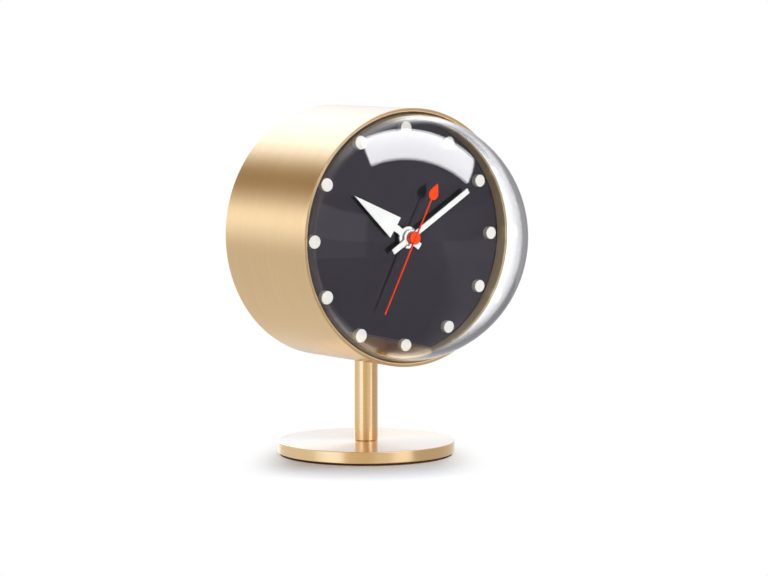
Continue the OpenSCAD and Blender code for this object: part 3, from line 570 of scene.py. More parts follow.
def studio():
    """Studio that metal and the dome mirror: bright walls and ceiling with a dark strip
    high on the left, and an unlit room in front, with the overhead softbox for the dome."""
    world = bpy.data.worlds.new("studio")
    world.use_nodes = True
    tree = world.node_tree
    tree.nodes.clear()
    direction = node(tree, "ShaderNodeTexCoord")
    parts = node(tree, "ShaderNodeSeparateXYZ", {"Vector": direction.outputs["Generated"]})
    turns = {}
    for plane, across in (("over", "Z"), ("around", "Y")):
        angle = node(
            tree,
            "ShaderNodeMath",
            {0: parts.outputs[across], 1: parts.outputs["X"]},
            operation="ARCTAN2",
        )
        turns[plane] = node(
            tree,
            "ShaderNodeMath",
            {0: angle, 1: 1 / math.tau, 2: 0.5},
            operation="MULTIPLY_ADD",
        )
    # Levels in degrees from -180 to 180. The walls: over the room, from the floor at the
    # left past the right wall (0) and the ceiling (90) to the left wall (180)
    walls = (
        (-180, (1.15, 1.15, 1.15)),
        (-166, (0.74, 0.69, 0.62)),
        (-150, (0.80, 0.77, 0.73)),
        (-80, (0.82, 0.78, 0.71)),
        (-30, (1.2, 1.2, 1.2)),
        (10, (1.45, 1.45, 1.5)),
        (25, (2.0, 1.98, 2.4)),
        (93, (2.0, 2.15, 2.5)),
        (104, (1.75, 1.95, 2.5)),
        (113, (1.15, 1.05, 0.65)),
        (121, (0.25, 0.14, 0.0)),
        (139, (0.30, 0.19, 0.06)),
        (151, (0.70, 0.62, 0.54)),
        (162, (1.38, 1.38, 1.38)),
        (172, (1.42, 1.42, 1.42)),
        (180, (1.15, 1.15, 1.15)),
    )
    # Round the room from the right wall (0): the left strip light, the dim front with a
    # second strip light, and the wall behind
    around = (
        (-180, (1.30, 1.42, 1.65)),
        (-158, (1.30, 1.42, 1.65)),
        (-152, (0.79, 0.71, 0.55)),
        (-117, (0.79, 0.71, 0.55)),
        (-111, (0.95, 0.93, 0.90)),
        (-66, (0.90, 0.88, 0.84)),
        (-60, (0.42, 0.38, 0.32)),
        (-14, (0.42, 0.38, 0.32)),
        (20, (0.50, 0.48, 0.46)),
        (46, (0.60, 0.68, 0.73)),
        (57, (0.60, 0.68, 0.73)),
        (68, (1.0, 1.0, 1.0)),
        (150, (0.9, 0.9, 0.9)),
        (163, (0.9, 0.9, 0.9)),
        (168, (1.15, 1.20, 1.30)),
        (180, (1.30, 1.42, 1.65)),
    )
    # The same round, as the polished dome shows it: the left wall and a narrow strip are
    # faint, the front is dark and the wall behind is white
    shine = (
        (-180, (0.30, 0.30, 0.31)),
        (-162, (0.30, 0.30, 0.31)),
        (-158, (0.10, 0.10, 0.10)),
        (-102, (0.10, 0.10, 0.10)),
        (-96, (0.16, 0.16, 0.17)),
        (-88, (0.16, 0.16, 0.17)),
        (-82, (0.10, 0.10, 0.10)),
        (4, (0.10, 0.10, 0.10)),
        (14, (0.36, 0.35, 0.37)),
        (33, (0.34, 0.33, 0.35)),
        (43, (0.30, 0.29, 0.31)),
        (51, (1.0, 1.0, 1.02)),
        (112, (1.2, 1.2, 1.2)),
        (124, (0.62, 0.61, 0.66)),
        (143, (0.40, 0.39, 0.42)),
        (147, (0.30, 0.30, 0.31)),
        (180, (0.30, 0.30, 0.31)),
    )
    levels = []
    for plane, stops in (("over", walls), ("around", around), ("around", shine)):
        made = node(tree, "ShaderNodeValToRGB", {"Fac": turns[plane]})
        elements = made.color_ramp.elements
        elements[1].position = 1.0
        elements[1].color = (*stops[-1][1], 1)
        elements[0].color = (*stops[0][1], 1)
        for angle, colour in stops[1:-1]:
            stop = elements.new(angle / 360 + 0.5)
            stop.color = (*colour, 1)
        levels.append(made)
    room = node(tree, "ShaderNodeVectorMath", {0: levels[0], 1: levels[1]}, operation="MULTIPLY")
    # The overhead softbox is a rectangle in the level plane, turned to the camera
    height = node(
        tree,
        "ShaderNodeCombineXYZ",
        {"X": parts.outputs["Z"], "Y": parts.outputs["Z"], "Z": parts.outputs["Z"]},
    )
    plane = node(
        tree,
        "ShaderNodeVectorMath",
        {0: direction.outputs["Generated"], 1: height},
        operation="DIVIDE",
    )
    faced = node(
        tree,
        "ShaderNodeMapping",
        {"Vector": plane, "Rotation": (0, 0, CAMERA_TURN)},
        vector_type="POINT",
    )
    over = node(tree, "ShaderNodeSeparateXYZ", {"Vector": faced})
    # Its right, near and far sides run slightly askew
    right_side, near_side, far_side = (
        node(tree, "ShaderNodeVectorMath", {0: faced, 1: slant}, operation="DOT_PRODUCT")
        for slant in ((1.0, 0.30, 0.0), (-0.04, 1.0, 0.0), (-0.085, 1.0, 0.0))
    )
    # The window ends at the table's edge below and at a sill above; only straight behind
    # the clock is the room white from the floor up
    edges = [
        node(
            tree,
            "ShaderNodeMapRange",
            {"Value": source.outputs[axis], "From Min": low, "From Max": high},
            interpolation_type="SMOOTHSTEP",
        )
        for source, axis, low, high in (
            (parts, "Z", -0.27, -0.23),
            (parts, "Z", 0.42, 0.37),
            (parts, "Y", 0.45, 0.65),
            (parts, "Z", 0.1, 0.15),
            (over, "X", -0.46, -0.42),
            (right_side, "Value", 1.185, 1.145),
            (near_side, "Value", -0.174, -0.134),
            (far_side, "Value", 0.635, 0.595),
        )
    ]
    window = node(tree, "ShaderNodeMath", {0: edges[0], 1: edges[1]}, operation="MULTIPLY")
    opening = node(tree, "ShaderNodeMath", {0: window, 1: edges[2]}, operation="MAXIMUM")
    # Straight behind the clock the top of the white wall is lit from above
    behind = node(
        tree,
        "ShaderNodeVectorMath",
        {0: direction.outputs["Generated"], 1: (0.59, 0.81, 0.0)},
        operation="DOT_PRODUCT",
    )
    lit = [
        node(
            tree,
            "ShaderNodeMapRange",
            {"Value": value, "From Min": low, "From Max": high, "To Max": most},
            interpolation_type="SMOOTHSTEP",
        )
        for value, low, high, most in (
            (parts.outputs["Z"], 0.17, 0.27, 1.3),
            (behind.outputs["Value"], 0.70, 0.85, 1.0),
        )
    ]
    lift = node(tree, "ShaderNodeMath", {0: lit[0], 1: lit[1], 2: 1.0}, operation="MULTIPLY_ADD")
    level = node(tree, "ShaderNodeMath", {0: opening, 1: lift}, operation="MULTIPLY")
    clear = node(tree, "ShaderNodeVectorMath", {0: levels[2], "Scale": level}, operation="SCALE")
    # Seen straight through, past both walls of the dome, the room is white
    path = node(tree, "ShaderNodeLightPath")
    unmirrored = node(
        tree,
        "ShaderNodeMath",
        {0: path.outputs["Glossy Depth"], 1: 0.5},
        operation="LESS_THAN",
    )
    beyond = node(
        tree,
        "ShaderNodeVectorMath",
        {0: unmirrored, 1: (1.6, 1.6, 1.6), 2: (0.06, 0.06, 0.06)},
        operation="MULTIPLY_ADD",
    )
    clear = node(tree, "ShaderNodeVectorMath", {0: clear, 1: beyond}, operation="MAXIMUM")
    box = edges[3]
    for edge in edges[4:]:
        box = node(tree, "ShaderNodeMath", {0: box, 1: edge}, operation="MULTIPLY")
    # The softbox is dimmer toward its far side
    dimmer = node(
        tree,
        "ShaderNodeMapRange",
        {"Value": over.outputs["Y"], "From Min": -0.15, "From Max": 0.64, "To Min": 1.0, "To Max": 0.68},
    )
    box = node(tree, "ShaderNodeMath", {0: box, 1: dimmer}, operation="MULTIPLY")
    shown_box = node(
        tree,
        "ShaderNodeVectorMath",
        {0: box, 1: (9.0, 8.9, 9.2), 2: clear},
        operation="MULTIPLY_ADD",
    )
    # Polished faces give singular rays; the brass inside the dome is seen past its two
    # walls, and mirrors the room as the brass outside does
    inside = [
        node(tree, "ShaderNodeMath", {0: path.outputs[name], 1: least}, operation="GREATER_THAN")
        for name, least in (("Glossy Depth", 0.5), ("Transmission Depth", 2.5))
    ]
    brass_inside = node(tree, "ShaderNodeMath", {0: inside[0], 1: inside[1]}, operation="MULTIPLY")
    polished = node(
        tree,
        "ShaderNodeMath",
        {0: path.outputs["Is Singular Ray"], 1: brass_inside},
        operation="SUBTRACT",
        use_clamp=True,
    )
    both = node(tree, "ShaderNodeMix", {0: polished, 6: room, 7: shown_box}, data_type="RGBA")
    mirrored = node(tree, "ShaderNodeBackground", {"Color": both.outputs[2], "Strength": 1.0})
    white = node(tree, "ShaderNodeBackground", {"Color": (1, 1, 1, 1), "Strength": 1.0})
    fill = node(tree, "ShaderNodeBackground", {"Color": (1, 1, 1, 1), "Strength": 0.2})
    shown = node(
        tree,
        "ShaderNodeMath",
        {0: path.outputs["Is Glossy Ray"], 1: path.outputs["Is Transmission Ray"]},
        operation="MAXIMUM",
    )
    through = node(tree, "ShaderNodeMixShader", {0: shown, 1: fill, 2: mirrored})
    choice = node(tree, "ShaderNodeMixShader", {0: path.outputs["Is Camera Ray"], 1: through, 2: white})
    node(tree, "ShaderNodeOutputWorld", {"Surface": choice})
    return world


class ClockSizes(bpy.types.PropertyGroup):
    """Sizes of the details that the frame leaves to the looks"""

    rim_round: bpy.props.FloatProperty(
        name="Rim rounding",
        description="Radius left by polishing on the drum's rims",
        default=0.25 * MM,
        min=0.0,
        unit="LENGTH",
    )
    base_round: bpy.props.FloatProperty(
        name="Base rounding",
        description="Radius on the edges of the base",
        default=0.4 * MM,
        min=0.0,
        unit="LENGTH",
    )
    peg_round: bpy.props.FloatProperty(
        name="Peg rounding",
        description="Radius round the face of each hour peg",
        default=0.3 * MM,
        min=0.0,
        unit="LENGTH",
    )
    cover_round: bpy.props.FloatProperty(
        name="Cover rounding",
        description="Radius on the moulded edges of the rear cover",
        default=0.35 * MM,
        min=0.0,
        unit="LENGTH",
    )
    turned_steps: bpy.props.IntProperty(
        name="Steps of large turned pieces",
        description="Facets round the drum, the dome and the base",
        default=192,
        min=48,
    )


class ClockColours(bpy.types.PropertyGroup):
    """Finishes that a user would change"""

    dial: bpy.props.FloatVectorProperty(
        name="Dial",
        description="Paint of the dial",
        default=srgb("343137")[:3],
        min=0.0,
        max=1.0,
        subtype="COLOR",
    )
    hands: bpy.props.FloatVectorProperty(
        name="Hour and minute hands",
        description="Paint of the hour and minute hands",
        default=srgb("EDECE8")[:3],
        min=0.0,
        max=1.0,
        subtype="COLOR",
    )
    second_hand: bpy.props.FloatVectorProperty(
        name="Second hand",
        description="Paint of the second hand",
        default=srgb("FF4514")[:3],
        min=0.0,
        max=1.0,
        subtype="COLOR",
    )
    pegs: bpy.props.FloatVectorProperty(
        name="Hour pegs",
        description="Plastic of the hour pegs",
        default=srgb("E9E5DC")[:3],
        min=0.0,
        max=1.0,
        subtype="COLOR",
    )
    battery: bpy.props.FloatVectorProperty(
        name="Battery sleeve",
        description="Sleeve round the battery",
        default=srgb("5D6167")[:3],
        min=0.0,
        max=1.0,
        subtype="COLOR",
    )


class CLOCK_OT_stage(bpy.types.Operator):
    """Floor, camera, lamps and surroundings"""

    bl_idname = "clock.stage"
    bl_label = "Stage"

    def execute(self, context):
        scene = context.scene
        scene.view_settings.view_transform = "Standard"

        # The camera's place, view and lens are fitted to the photograph
        fresh()
        bpy.ops.object.camera_add(location=(-0.7525, -1.0540, 0.1881))
        camera = context.object
        view = Vector((0.5836, 0.8071, -0.0891))
        camera.rotation_euler = view.to_track_quat("-Z", "Y").to_euler()
        camera.data.sensor_width = 36
        camera.data.lens = 140.6
        camera.data.clip_start = 0.01
        camera.data.clip_end = 50
        scene.camera = camera

        fresh()
        bpy.ops.mesh.primitive_plane_add(size=12, location=(0, 0, 0))
        floor = context.object
        floor.name = "floor"
        floor.data.materials.append(matt_table())
        floor.visible_glossy = False

        # Small softbox straight in front of the dial: its hands throw crisp shadows
        self.softbox("key", (-0.08, -1.30, 0.10), 0.10, 0.10, 19.0)
        # Long softbox over the clock, square to the camera
        self.softbox("overhead", (0.33, 0.03, 0.90), 1.20, 0.72, 6.0, down=True)
        scene.world = studio()
        return {"FINISHED"}

    def softbox(self, name, place, width, depth, power, down=False):
        """Rectangular lamp that faces the drum's middle or hangs level, its width level.
        It lights matt surfaces; what gloss mirrors of it is in the surroundings."""
        fresh()
        bpy.ops.object.light_add(type="AREA", location=place)
        lamp = bpy.context.object
        lamp.name = name
        lamp.data.shape = "RECTANGLE"
        lamp.data.size = width
        lamp.data.size_y = depth
        lamp.data.energy = power
        lamp.visible_glossy = False
        lamp.visible_transmission = False
        aim = Vector((0, 0, -1)) if down else (AXIS - Vector(place)).normalized()
        # A box that hangs level runs along the camera's right
        level = Vector((0.81, -0.585, 0)) if down else Vector((1, 0, 0))
        up = aim.cross(level).normalized()
        level = up.cross(aim).normalized()
        turn = Matrix((level, -up, -aim)).transposed()
        lamp.rotation_euler = turn.to_euler()


class CLOCK_OT_drum(bpy.types.Operator):
    """Brass drum, turned to a seat for the rear cover"""

    bl_idname = "clock.drum"
    bl_label = "Drum"

    def execute(self, context):
        sizes = context.scene.clock_sizes
        outer = (DRUM_HIGH.x - DRUM_LOW.x) / 2
        inner = outer - DRUM_WALL
        seat = inner + SEAT_CUT
        front = DRUM_LOW.y
        rear = DRUM_HIGH.y
        seat_y = rear - SEAT_LENGTH
        r = sizes.rim_round
        profile = [
            *arc((inner + r, front + r), r, 180, 270),
            *arc((outer - r, front + r), r, 270, 360),
            *arc((outer - r, rear - r), r, 0, 90),
            *arc((seat + r, rear - r), r, 90, 180),
            (seat, seat_y),
            (inner, seat_y),
        ]
        drum = turned(profile, AXIS, (0, 1, 0), sizes.turned_steps)
        cut_out(drum, self.screw_hole())
        finish = brushed_brass("brass_tube_brushed_round", AXIS, (22, 0.35, 22), "Y", bore=inner)
        settle(drum, "drum_shell", "case", "drum", slot="brass", material=finish)
        return {"FINISHED"}

    def screw_hole(self):
        """Cutter for the hole of the post's screw, longer than the drum's wall is thick."""
        fresh()
        bpy.ops.mesh.primitive_cylinder_add(
            vertices=32, radius=SCREW_HOLE, depth=4 * MM, location=(0, 0, DRUM_LOW.z)
        )
        return bpy.context.object


class CLOCK_OT_dome(bpy.types.Operator):
    """Clear dome over the dial"""

    bl_idname = "clock.dome"
    bl_label = "Dome"

    def execute(self, context):
        low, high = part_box("dome")
        outer = (high.x - low.x) / 2
        inner = outer - DOME_WALL
        foot = high.y
        chamfer = 0.2 * MM
        steps = context.scene.clock_sizes.turned_steps
        rings = steps // 4
        profile = [
            *arc((0, foot), outer, -90, 0, rings)[:-1],
            (outer, foot - chamfer),
            (outer - chamfer, foot),
            (inner + chamfer, foot),
            (inner, foot - chamfer),
            *arc((0, foot), inner, 0, -90, rings)[1:],
        ]
        dome = turned(profile, AXIS, (0, 1, 0), steps)
        finish = clear_acrylic("acrylic_blown_polished")
        settle(dome, "dome_shell", "case", "dome", slot="clear_dome", material=finish)
        return {"FINISHED"}


class CLOCK_OT_base(bpy.types.Operator):
    """Brass base with its dark pad"""

    bl_idname = "clock.base"
    bl_label = "Base"

    def execute(self, context):
        sizes = context.scene.clock_sizes
        outer = (BASE_HIGH.x - BASE_LOW.x) / 2
        low = BASE_LOW.z
        top = BASE_HIGH.z
        r = sizes.base_round
        profile = [
            (SCREW_HOLE, top),
            (SCREW_HOLE, low + SINK_RADIUS - SCREW_HOLE),
            (SINK_RADIUS, low),
            *arc((outer - r, low + r), r, 270, 360),
            *arc((outer - r, top - r), r, 0, 90),
        ]
        base = turned(profile, (0, 0, 0), (0, 0, 1), sizes.turned_steps)
        finish = brushed_brass(
            "brass_disc_turned_brushed",
            (0, 0, BASE_MID.z),
            (20, 20, 0.3),
            "Z",
            rings=True,
            roughness=0.3,
        )
        settle(base, "base_plate", "case", "base_disc", slot="brass", material=finish)
        post = eased_copy("post", 0.05 * MM)
        finish = brushed_brass("brass_bar_turned_brushed", AXIS, (16, 16, 0.3), "Z", roughness=0.16)
        settle(post, "post_bar", "case", "post", slot="brass", material=finish)
        NODES["base_pad"].data.materials.clear()
        NODES["base_pad"].data.materials.append(
            moulded("felt_pressed_brown", srgb("38200E"), 0.9, 0.6, 0.3)
        )
        return {"FINISHED"}


class CLOCK_OT_dial(bpy.types.Operator):
    """Painted dial with its twelve pegs"""

    bl_idname = "clock.dial"
    bl_label = "Dial and pegs"

    def execute(self, context):
        colours = context.scene.clock_colours
        sizes = context.scene.clock_sizes
        dial = eased_copy("dial_plate", 0.06 * MM)
        finish = painted("steel_sheet_satin_charcoal", (*colours.dial, 1), 0.42, 0.35, shine=0.25)
        settle(dial, "dial_face", "case", "dial_plate", slot="charcoal_dial", material=finish)
        low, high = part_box("hour_pegs")
        finish = moulded("acetal_turned_cream", (*colours.pegs, 1), 0.5, 0.25, 0.01)
        circle = (high.x - low.x) / 2 - PEG_RADIUS
        face = low.y
        seat = face + PEG_HEIGHT
        r = sizes.peg_round
        profile = [
            (0, face),
            *arc((PEG_RADIUS - r, face + r), r, 270, 360),
            (PEG_RADIUS, seat),
            (SPIGOT_RADIUS, seat),
            (SPIGOT_RADIUS, high.y),
            (0, high.y),
        ]
        for hour in range(12):
            angle = math.radians(90 - 30 * hour)
            place = AXIS + Vector((circle * math.cos(angle), 0, circle * math.sin(angle)))
            peg = turned(profile, place, (0, 1, 0), 40)
            settle(peg, f"peg_{hour or 12:02d}", "case", "hour_pegs", slot="cream_pegs", material=finish)
        return {"FINISHED"}


class CLOCK_OT_hands(bpy.types.Operator):
    """Hour, minute and second hands with eased edges"""

    bl_idname = "clock.hands"
    bl_label = "Hands"

    def execute(self, context):
        colours = context.scene.clock_colours
        white = painted("aluminium_sheet_satin_white", (*colours.hands, 1), 0.4, 0.3)
        red = painted("aluminium_sheet_satin_vermilion", (*colours.second_hand, 1), 0.38, 0.3)
        for name, body, finish, slot in (
            ("hour_hand", "hour_hand", white, "white_hands"),
            ("minute_hand", "minute_hand", white, "white_hands"),
            ("second_hand", "second_hand", red, "red_hand"),
        ):
            hand = eased_copy(name, 0.06 * MM)
            if name == "second_hand":
                self.slim_stem(hand)
            settle(hand, name + "_painted", body, name, slot=slot, material=finish)
        return {"FINISHED"}

    def slim_stem(self, hand):
        """Draws in the sides of the stem by a third, between the cap and the leaf."""
        rest = math.radians(27)
        cap_end = 2.5 * MM
        leaf_start = 18.7 * MM
        stem_edge = 0.6 * MM
        drawn_in = 0.35
        along = Vector((math.sin(rest), 0, math.cos(rest)))
        across = Vector((math.cos(rest), 0, -math.sin(rest)))
        for vertex in hand.data.vertices:
            reach = (vertex.co - AXIS).dot(along)
            side = (vertex.co - AXIS).dot(across)
            if cap_end < reach < leaf_start and abs(side) < stem_edge:
                vertex.co -= across * side * drawn_in


class CLOCK_OT_movement(bpy.types.Operator):
    """Case, wheels and motor of the movement, with the eased edges of moulded and
    stamped pieces"""

    bl_idname = "clock.movement"
    bl_label = "Movement"

    def execute(self, context):
        acetal = moulded("acetal_moulded_natural", srgb("E4DAC0"), 0.4, 0.3, 0.005, 0.2)
        black = moulded("abs_moulded_black", srgb("1E1F21"), 0.5, 0.25, 0.02)
        iron = plain_metal("electrical_steel_stamped", srgb("8E9094"), 0.38, (0.2, 8, 8))
        magnet = plain_metal("ferrite_sintered_grey", srgb("5A5B60"), 0.5, (0.4, 0.4, 0.4))
        nickel = plain_metal("spring_steel_nickel_plated", srgb("D0D0CE"), 0.22, (0.25, 6, 6))
        for name, body, slot, finish, ease in (
            ("hour_wheel", "hour_hand", "wheel_plastic", acetal, 0.04),
            ("minute_wheel", "minute_hand", "wheel_plastic", acetal, 0.04),
            ("second_wheel", "second_hand", "wheel_plastic", acetal, 0.03),
            ("motion_wheel", "motion_wheel", "wheel_plastic", acetal, 0.04),
            ("third_wheel", "third_wheel", "wheel_plastic", acetal, 0.03),
            ("drive_wheel", "drive_wheel", "wheel_plastic", acetal, 0.03),
            ("rotor", "rotor", "motor_iron", magnet, 0.03),
            ("stator", "case", "motor_iron", iron, 0.06),
            ("coil_core", "case", "motor_iron", iron, 0.06),
            ("coil_bobbin", "case", "black_plastic", black, 0.08),
            ("movement_frame", "case", "black_plastic", black, 0.15),
            ("movement_back", "case", "black_plastic", black, 0.15),
            ("setting_knob", "setting_knob", "black_plastic", black, 0.1),
            ("contact_positive", "case", "steel", nickel, 0.08),
            ("contact_negative", "case", "steel", nickel, 0.08),
            ("dial_ring", "case", "motor_iron", iron, 0.15),
        ):
            piece = eased_copy(name, ease * MM, angle=30)
            settle(piece, name + "_eased", body, name, slot=slot, material=finish)
        return {"FINISHED"}


class CLOCK_OT_rear_cover(bpy.types.Operator):
    """Moulded cover with its dish and grip"""

    bl_idname = "clock.rear_cover"
    bl_label = "Rear cover"

    def execute(self, context):
        finish = moulded("abs_moulded_graphite", srgb("232428"), 0.46, 0.45, 0.03)
        cover = eased_copy("rear_cover", context.scene.clock_sizes.cover_round, segments=3)
        settle(
            cover,
            "rear_cover_moulded",
            "rear_cover",
            "rear_cover",
            slot="black_plastic",
            material=finish,
        )
        return {"FINISHED"}


class CLOCK_OT_battery(bpy.types.Operator):
    """Steel battery can in its shrunk sleeve"""

    bl_idname = "clock.battery"
    bl_label = "Battery"

    def execute(self, context):
        low, high, middle = node_box("battery")
        centre = Vector((0, middle.y, middle.z))
        flat = low.x
        tip = high.x
        shoulder = tip - 1.1 * MM
        radius = (high.z - low.z) / 2
        nub = 2.7 * MM
        wall = 0.15 * MM
        roll = 0.6 * MM
        lip = radius - 1.3 * MM
        sleeve = [
            (lip, flat),
            *arc((radius - roll, flat + roll), roll, 270, 360),
            *arc((radius - roll, shoulder - roll), roll, 0, 90),
            (lip, shoulder),
            (lip, shoulder - wall),
            (radius - roll, shoulder - wall),
            (radius - wall, shoulder - roll),
            (radius - wall, flat + roll),
            (radius - roll, flat + wall),
            (lip, flat + wall),
        ]
        # The can lies just inside its sleeve, and its crimped ends step down within the lips
        body = radius - 0.2 * MM
        crimp = lip - 0.9 * MM
        edge = 0.3 * MM
        can = [
            (0, flat + 0.1 * MM),
            (crimp - edge, flat + 0.1 * MM),
            (crimp, flat + edge),
            (body, flat + edge),
            (body, shoulder - edge),
            (crimp, shoulder - edge),
            (crimp - 2 * edge, shoulder - 0.5 * MM),
            (nub + edge, shoulder - 0.2 * MM),
            (nub, shoulder),
            *arc((nub - edge, tip - edge), edge, 0, 90),
            (0, tip),
        ]
        colour = context.scene.clock_colours.battery
        shrunk = painted("pvc_sleeve_shrunk_grey", (*colour, 1), 0.3, 0.5, 0.3)
        drawn = plain_metal("steel_drawn_nickel_plated", srgb("C9C9C8"), 0.25, (0.3, 6, 6))
        for name, profile, slot, finish in (
            ("battery_sleeve", sleeve, "battery_jacket", shrunk),
            ("battery_can", can, "steel", drawn),
        ):
            piece = turned(profile, centre, (1, 0, 0), 64)
            settle(piece, name, "battery", "battery", slot=slot, material=finish)
        return {"FINISHED"}


class CLOCK_OT_coil(bpy.types.Operator):
    """Coil of enamelled wire, wound on its bobbin"""

    bl_idname = "clock.coil"
    bl_label = "Coil"

    def execute(self, context):
        low, high, middle = node_box("coil_winding")
        outer = (high.x - low.x) / 2
        # The wire is 0.1 mm thick; drawn at 0.35 mm so that its turns show
        count = round((high.z - low.z) / (0.35 * MM))
        pitch = (high.z - low.z) / count
        profile = [(COIL_INNER, high.z), (COIL_INNER, low.z)]
        for turn in range(count):
            profile += arc((outer - pitch / 2, low.z + (turn + 0.5) * pitch), pitch / 2, -80, 80)
        finish = plain_metal("copper_wire_enamelled", srgb("B5612C"), 0.25, (2, 2, 0.15))
        coil = turned(profile, (middle.x, middle.y, 0), (0, 0, 1), 48)
        settle(coil, "coil_turns", "case", "coil_winding", slot="copper", material=finish, smooth=60)
        return {"FINISHED"}


class CLOCK_OT_board(bpy.types.Operator):
    """Circuit board with its tracks, solder, sealed chip and crystal"""

    bl_idname = "clock.board"
    bl_label = "Circuit board"

    def execute(self, context):
        mask = moulded("epoxy_board_solder_mask_green", srgb("2F6B3F"), 0.35, 0.5, 0.005)
        board = eased_copy("circuit_board", 0.08 * MM)
        settle(board, "board_sheet", "case", "circuit_board", slot="board_green", material=mask)
        low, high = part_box("circuit_board")
        face = low.y
        chip_low, chip_high, chip = node_box("board_chip")
        radius = (chip_high.x - chip_low.x) / 2
        # Black epoxy poured over the bare chip sets as a low drop
        drop = [
            (0, chip_low.y),
            (0.45 * radius, chip_low.y + 0.05 * MM),
            (0.75 * radius, chip_low.y + 0.25 * MM),
            (0.93 * radius, chip_low.y + 0.55 * MM),
            (radius, chip_high.y),
            (0, chip_high.y),
        ]
        epoxy = moulded("epoxy_poured_black", srgb("17181A"), 0.3, 0.8, 0.02)
        piece = turned(drop, (chip.x, 0, chip.z), (0, 1, 0), 48)
        settle(piece, "chip_drop", "case", "board_chip", slot="black_plastic", material=epoxy, smooth=60)
        can_low, can_high, can = node_box("board_crystal")
        r = (can_high.x - can_low.x) / 2
        profile = [
            (0, can_low.z),
            (r, can_low.z),
            (r, can_low.z + 0.3 * MM),
            (0.9 * r, can_low.z + 0.45 * MM),
            *arc((0.7 * r, can_high.z - 0.2 * r), 0.2 * r, 0, 90),
            (0, can_high.z),
        ]
        drawn = plain_metal("steel_drawn_can", srgb("C4C6CA"), 0.2, (3, 3, 0.2))
        piece = turned(profile, (can.x, can.y, 0), (0, 0, 1), 32)
        settle(piece, "crystal_can", "case", "board_crystal", slot="can_metal", material=drawn)

        # Four tracks run from the chip to the board's edge and down to a row of solder beads
        half = 0.15 * MM
        raised = 0.035 * MM
        chip_pitch = 1.2 * MM
        edge_gap = 1.0 * MM
        edge_pitch = 0.8 * MM
        foot = low.z + 5.2 * MM
        bead = [
            (0, face - 0.4 * MM),
            (0.15 * MM, face - 0.36 * MM),
            (0.25 * MM, face - 0.2 * MM),
            (0.38 * MM, face - 0.05 * MM),
            (0.38 * MM, face),
            (0, face),
        ]
        tracks = []
        joints = []
        for i in range(4):
            level = chip.z + (1.5 - i) * chip_pitch
            side = high.x - edge_gap - i * edge_pitch
            for start, end in (((chip.x, level), (side + half, level)), ((side, foot), (side, level))):
                fresh()
                bpy.ops.mesh.primitive_cube_add(
                    size=1,
                    location=((start[0] + end[0]) / 2, face - raised / 2, (start[1] + end[1]) / 2),
                    scale=(max(end[0] - start[0], 2 * half), raised, max(end[1] - start[1], 2 * half)),
                )
                track = context.object
                bpy.ops.object.transform_apply(location=True, rotation=True, scale=True)
                bpy.ops.object.mode_set(mode="EDIT")
                bpy.ops.mesh.select_all(action="SELECT")
                bpy.ops.mesh.bevel(offset=raised / 3, segments=1)
                bpy.ops.object.mode_set(mode="OBJECT")
                tracks.append(track)
            joints.append(turned(bead, (side, 0, foot), (0, 1, 0), 16))
        tin = plain_metal("solder_tinned", srgb("C8C9CB"), 0.3, (0.3, 0.3, 0.3))
        copper = moulded("copper_track_under_mask", srgb("4C8A4E"), 0.3, 0.4, 0.004)
        for name, pieces, finish, slot in (
            ("board_tracks", tracks, copper, "board_green"),
            ("board_solder", joints, tin, "can_metal"),
        ):
            fresh()
            for piece in pieces:
                piece.select_set(True)
            context.view_layer.objects.active = pieces[0]
            bpy.ops.object.join()
            settle(pieces[0], name, "case", "circuit_board", slot=slot, material=finish)
        return {"FINISHED"}


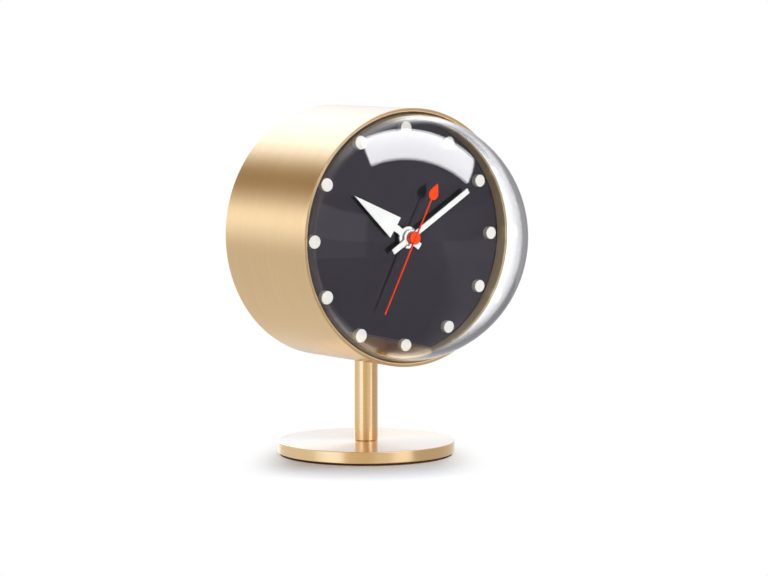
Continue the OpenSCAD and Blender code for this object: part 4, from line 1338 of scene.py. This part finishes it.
class CLOCK_OT_fasteners(bpy.types.Operator):
    """Socket screws of the post, stator screws, nuts and the saddle washer"""

    bl_idname = "clock.fasteners"
    bl_label = "Fasteners"

    def execute(self, context):
        zinc = plain_metal("steel_zinc_plated", srgb("B9BCC0"), 0.32, (4, 4, 0.2))
        for name in ("dial_nuts", "stator_screws", "saddle_washer"):
            piece = eased_copy(name, 0.08 * MM)
            settle(piece, name + "_eased", "case", name, slot="steel", material=zinc)
        # The base's screw is countersunk, head down; the post's has a round head, on top
        for name, head_down, socket in (("base_screw", True, 1.67 * MM), ("post_screw", False, 1.3 * MM)):
            low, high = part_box(name)
            wide = (high.x - low.x) / 2
            if head_down:
                edge = 0.1 * MM
                screw = [
                    (0, low.z),
                    (wide - edge, low.z),
                    (wide, low.z + edge),
                    (SCREW_SHANK, low.z + wide - SCREW_SHANK),
                    *self.thread(SCREW_SHANK, low.z + 5 * MM, high.z),
                    (0, high.z),
                ]
                middle = low.z + socket / 2
            else:
                edge = 0.3 * MM
                seat = high.z - 2.6 * MM
                screw = [
                    (0, low.z),
                    *self.thread(SCREW_SHANK, low.z, seat - 3.5 * MM),
                    (SCREW_SHANK, seat),
                    (wide, seat),
                    *arc((wide - edge, high.z - edge), edge, 0, 90),
                    (0, high.z),
                ]
                middle = high.z - socket / 2
            piece = turned(screw, (0, 0, 0), (0, 0, 1), 48)
            fresh()
            bpy.ops.mesh.primitive_cylinder_add(
                vertices=6,
                radius=SCREW_SHANK * 2 / 3,
                depth=socket + 0.01 * MM,
                location=(0, 0, middle),
            )
            cut_out(piece, context.object)
            settle(piece, name + "_threaded", "case", name, slot="steel", material=zinc)
        return {"FINISHED"}

    def thread(self, radius, start, end):
        """Profile of a metric thread of 0.7 mm pitch, as rings."""
        pitch = 0.7 * MM
        depth = 0.3 * MM
        count = int((end - start) / pitch)
        points = []
        for turn in range(count):
            at = start + turn * (end - start) / count
            points += [
                (radius - depth, at + 0.05 * pitch),
                (radius, at + 0.45 * pitch),
                (radius, at + 0.55 * pitch),
                (radius - depth, at + 0.95 * pitch),
            ]
        return points


class CLOCK_PT_pieces(bpy.types.Panel):
    """Lists the pieces of the clock"""

    bl_label = "Clock"
    bl_idname = "CLOCK_PT_pieces"
    bl_space_type = "VIEW_3D"
    bl_region_type = "UI"
    bl_category = "Clock"

    def draw(self, context):
        for operator in OPERATORS:
            self.layout.operator(operator.bl_idname)
        for group in (context.scene.clock_sizes, context.scene.clock_colours):
            for name in group.__annotations__:
                self.layout.prop(group, name)


OPERATORS = (
    CLOCK_OT_stage,
    CLOCK_OT_drum,
    CLOCK_OT_dome,
    CLOCK_OT_base,
    CLOCK_OT_dial,
    CLOCK_OT_hands,
    CLOCK_OT_movement,
    CLOCK_OT_rear_cover,
    CLOCK_OT_battery,
    CLOCK_OT_coil,
    CLOCK_OT_board,
    CLOCK_OT_fasteners,
)
CLASSES = (ClockSizes, ClockColours, *OPERATORS, CLOCK_PT_pieces)


def register():
    for cls in CLASSES:
        bpy.utils.register_class(cls)
    bpy.types.Scene.clock_sizes = bpy.props.PointerProperty(type=ClockSizes)
    bpy.types.Scene.clock_colours = bpy.props.PointerProperty(type=ClockColours)


def unregister():
    del bpy.types.Scene.clock_colours
    del bpy.types.Scene.clock_sizes
    for cls in reversed(CLASSES):
        bpy.utils.unregister_class(cls)


def main():
    register()
    bpy.ops.clock.stage()
    bpy.ops.clock.drum()
    bpy.ops.clock.dome()
    bpy.ops.clock.base()
    bpy.ops.clock.dial()
    bpy.ops.clock.hands()
    bpy.ops.clock.movement()
    bpy.ops.clock.rear_cover()
    bpy.ops.clock.battery()
    bpy.ops.clock.coil()
    bpy.ops.clock.board()
    bpy.ops.clock.fasteners()


if __name__ == "__main__":
    main()
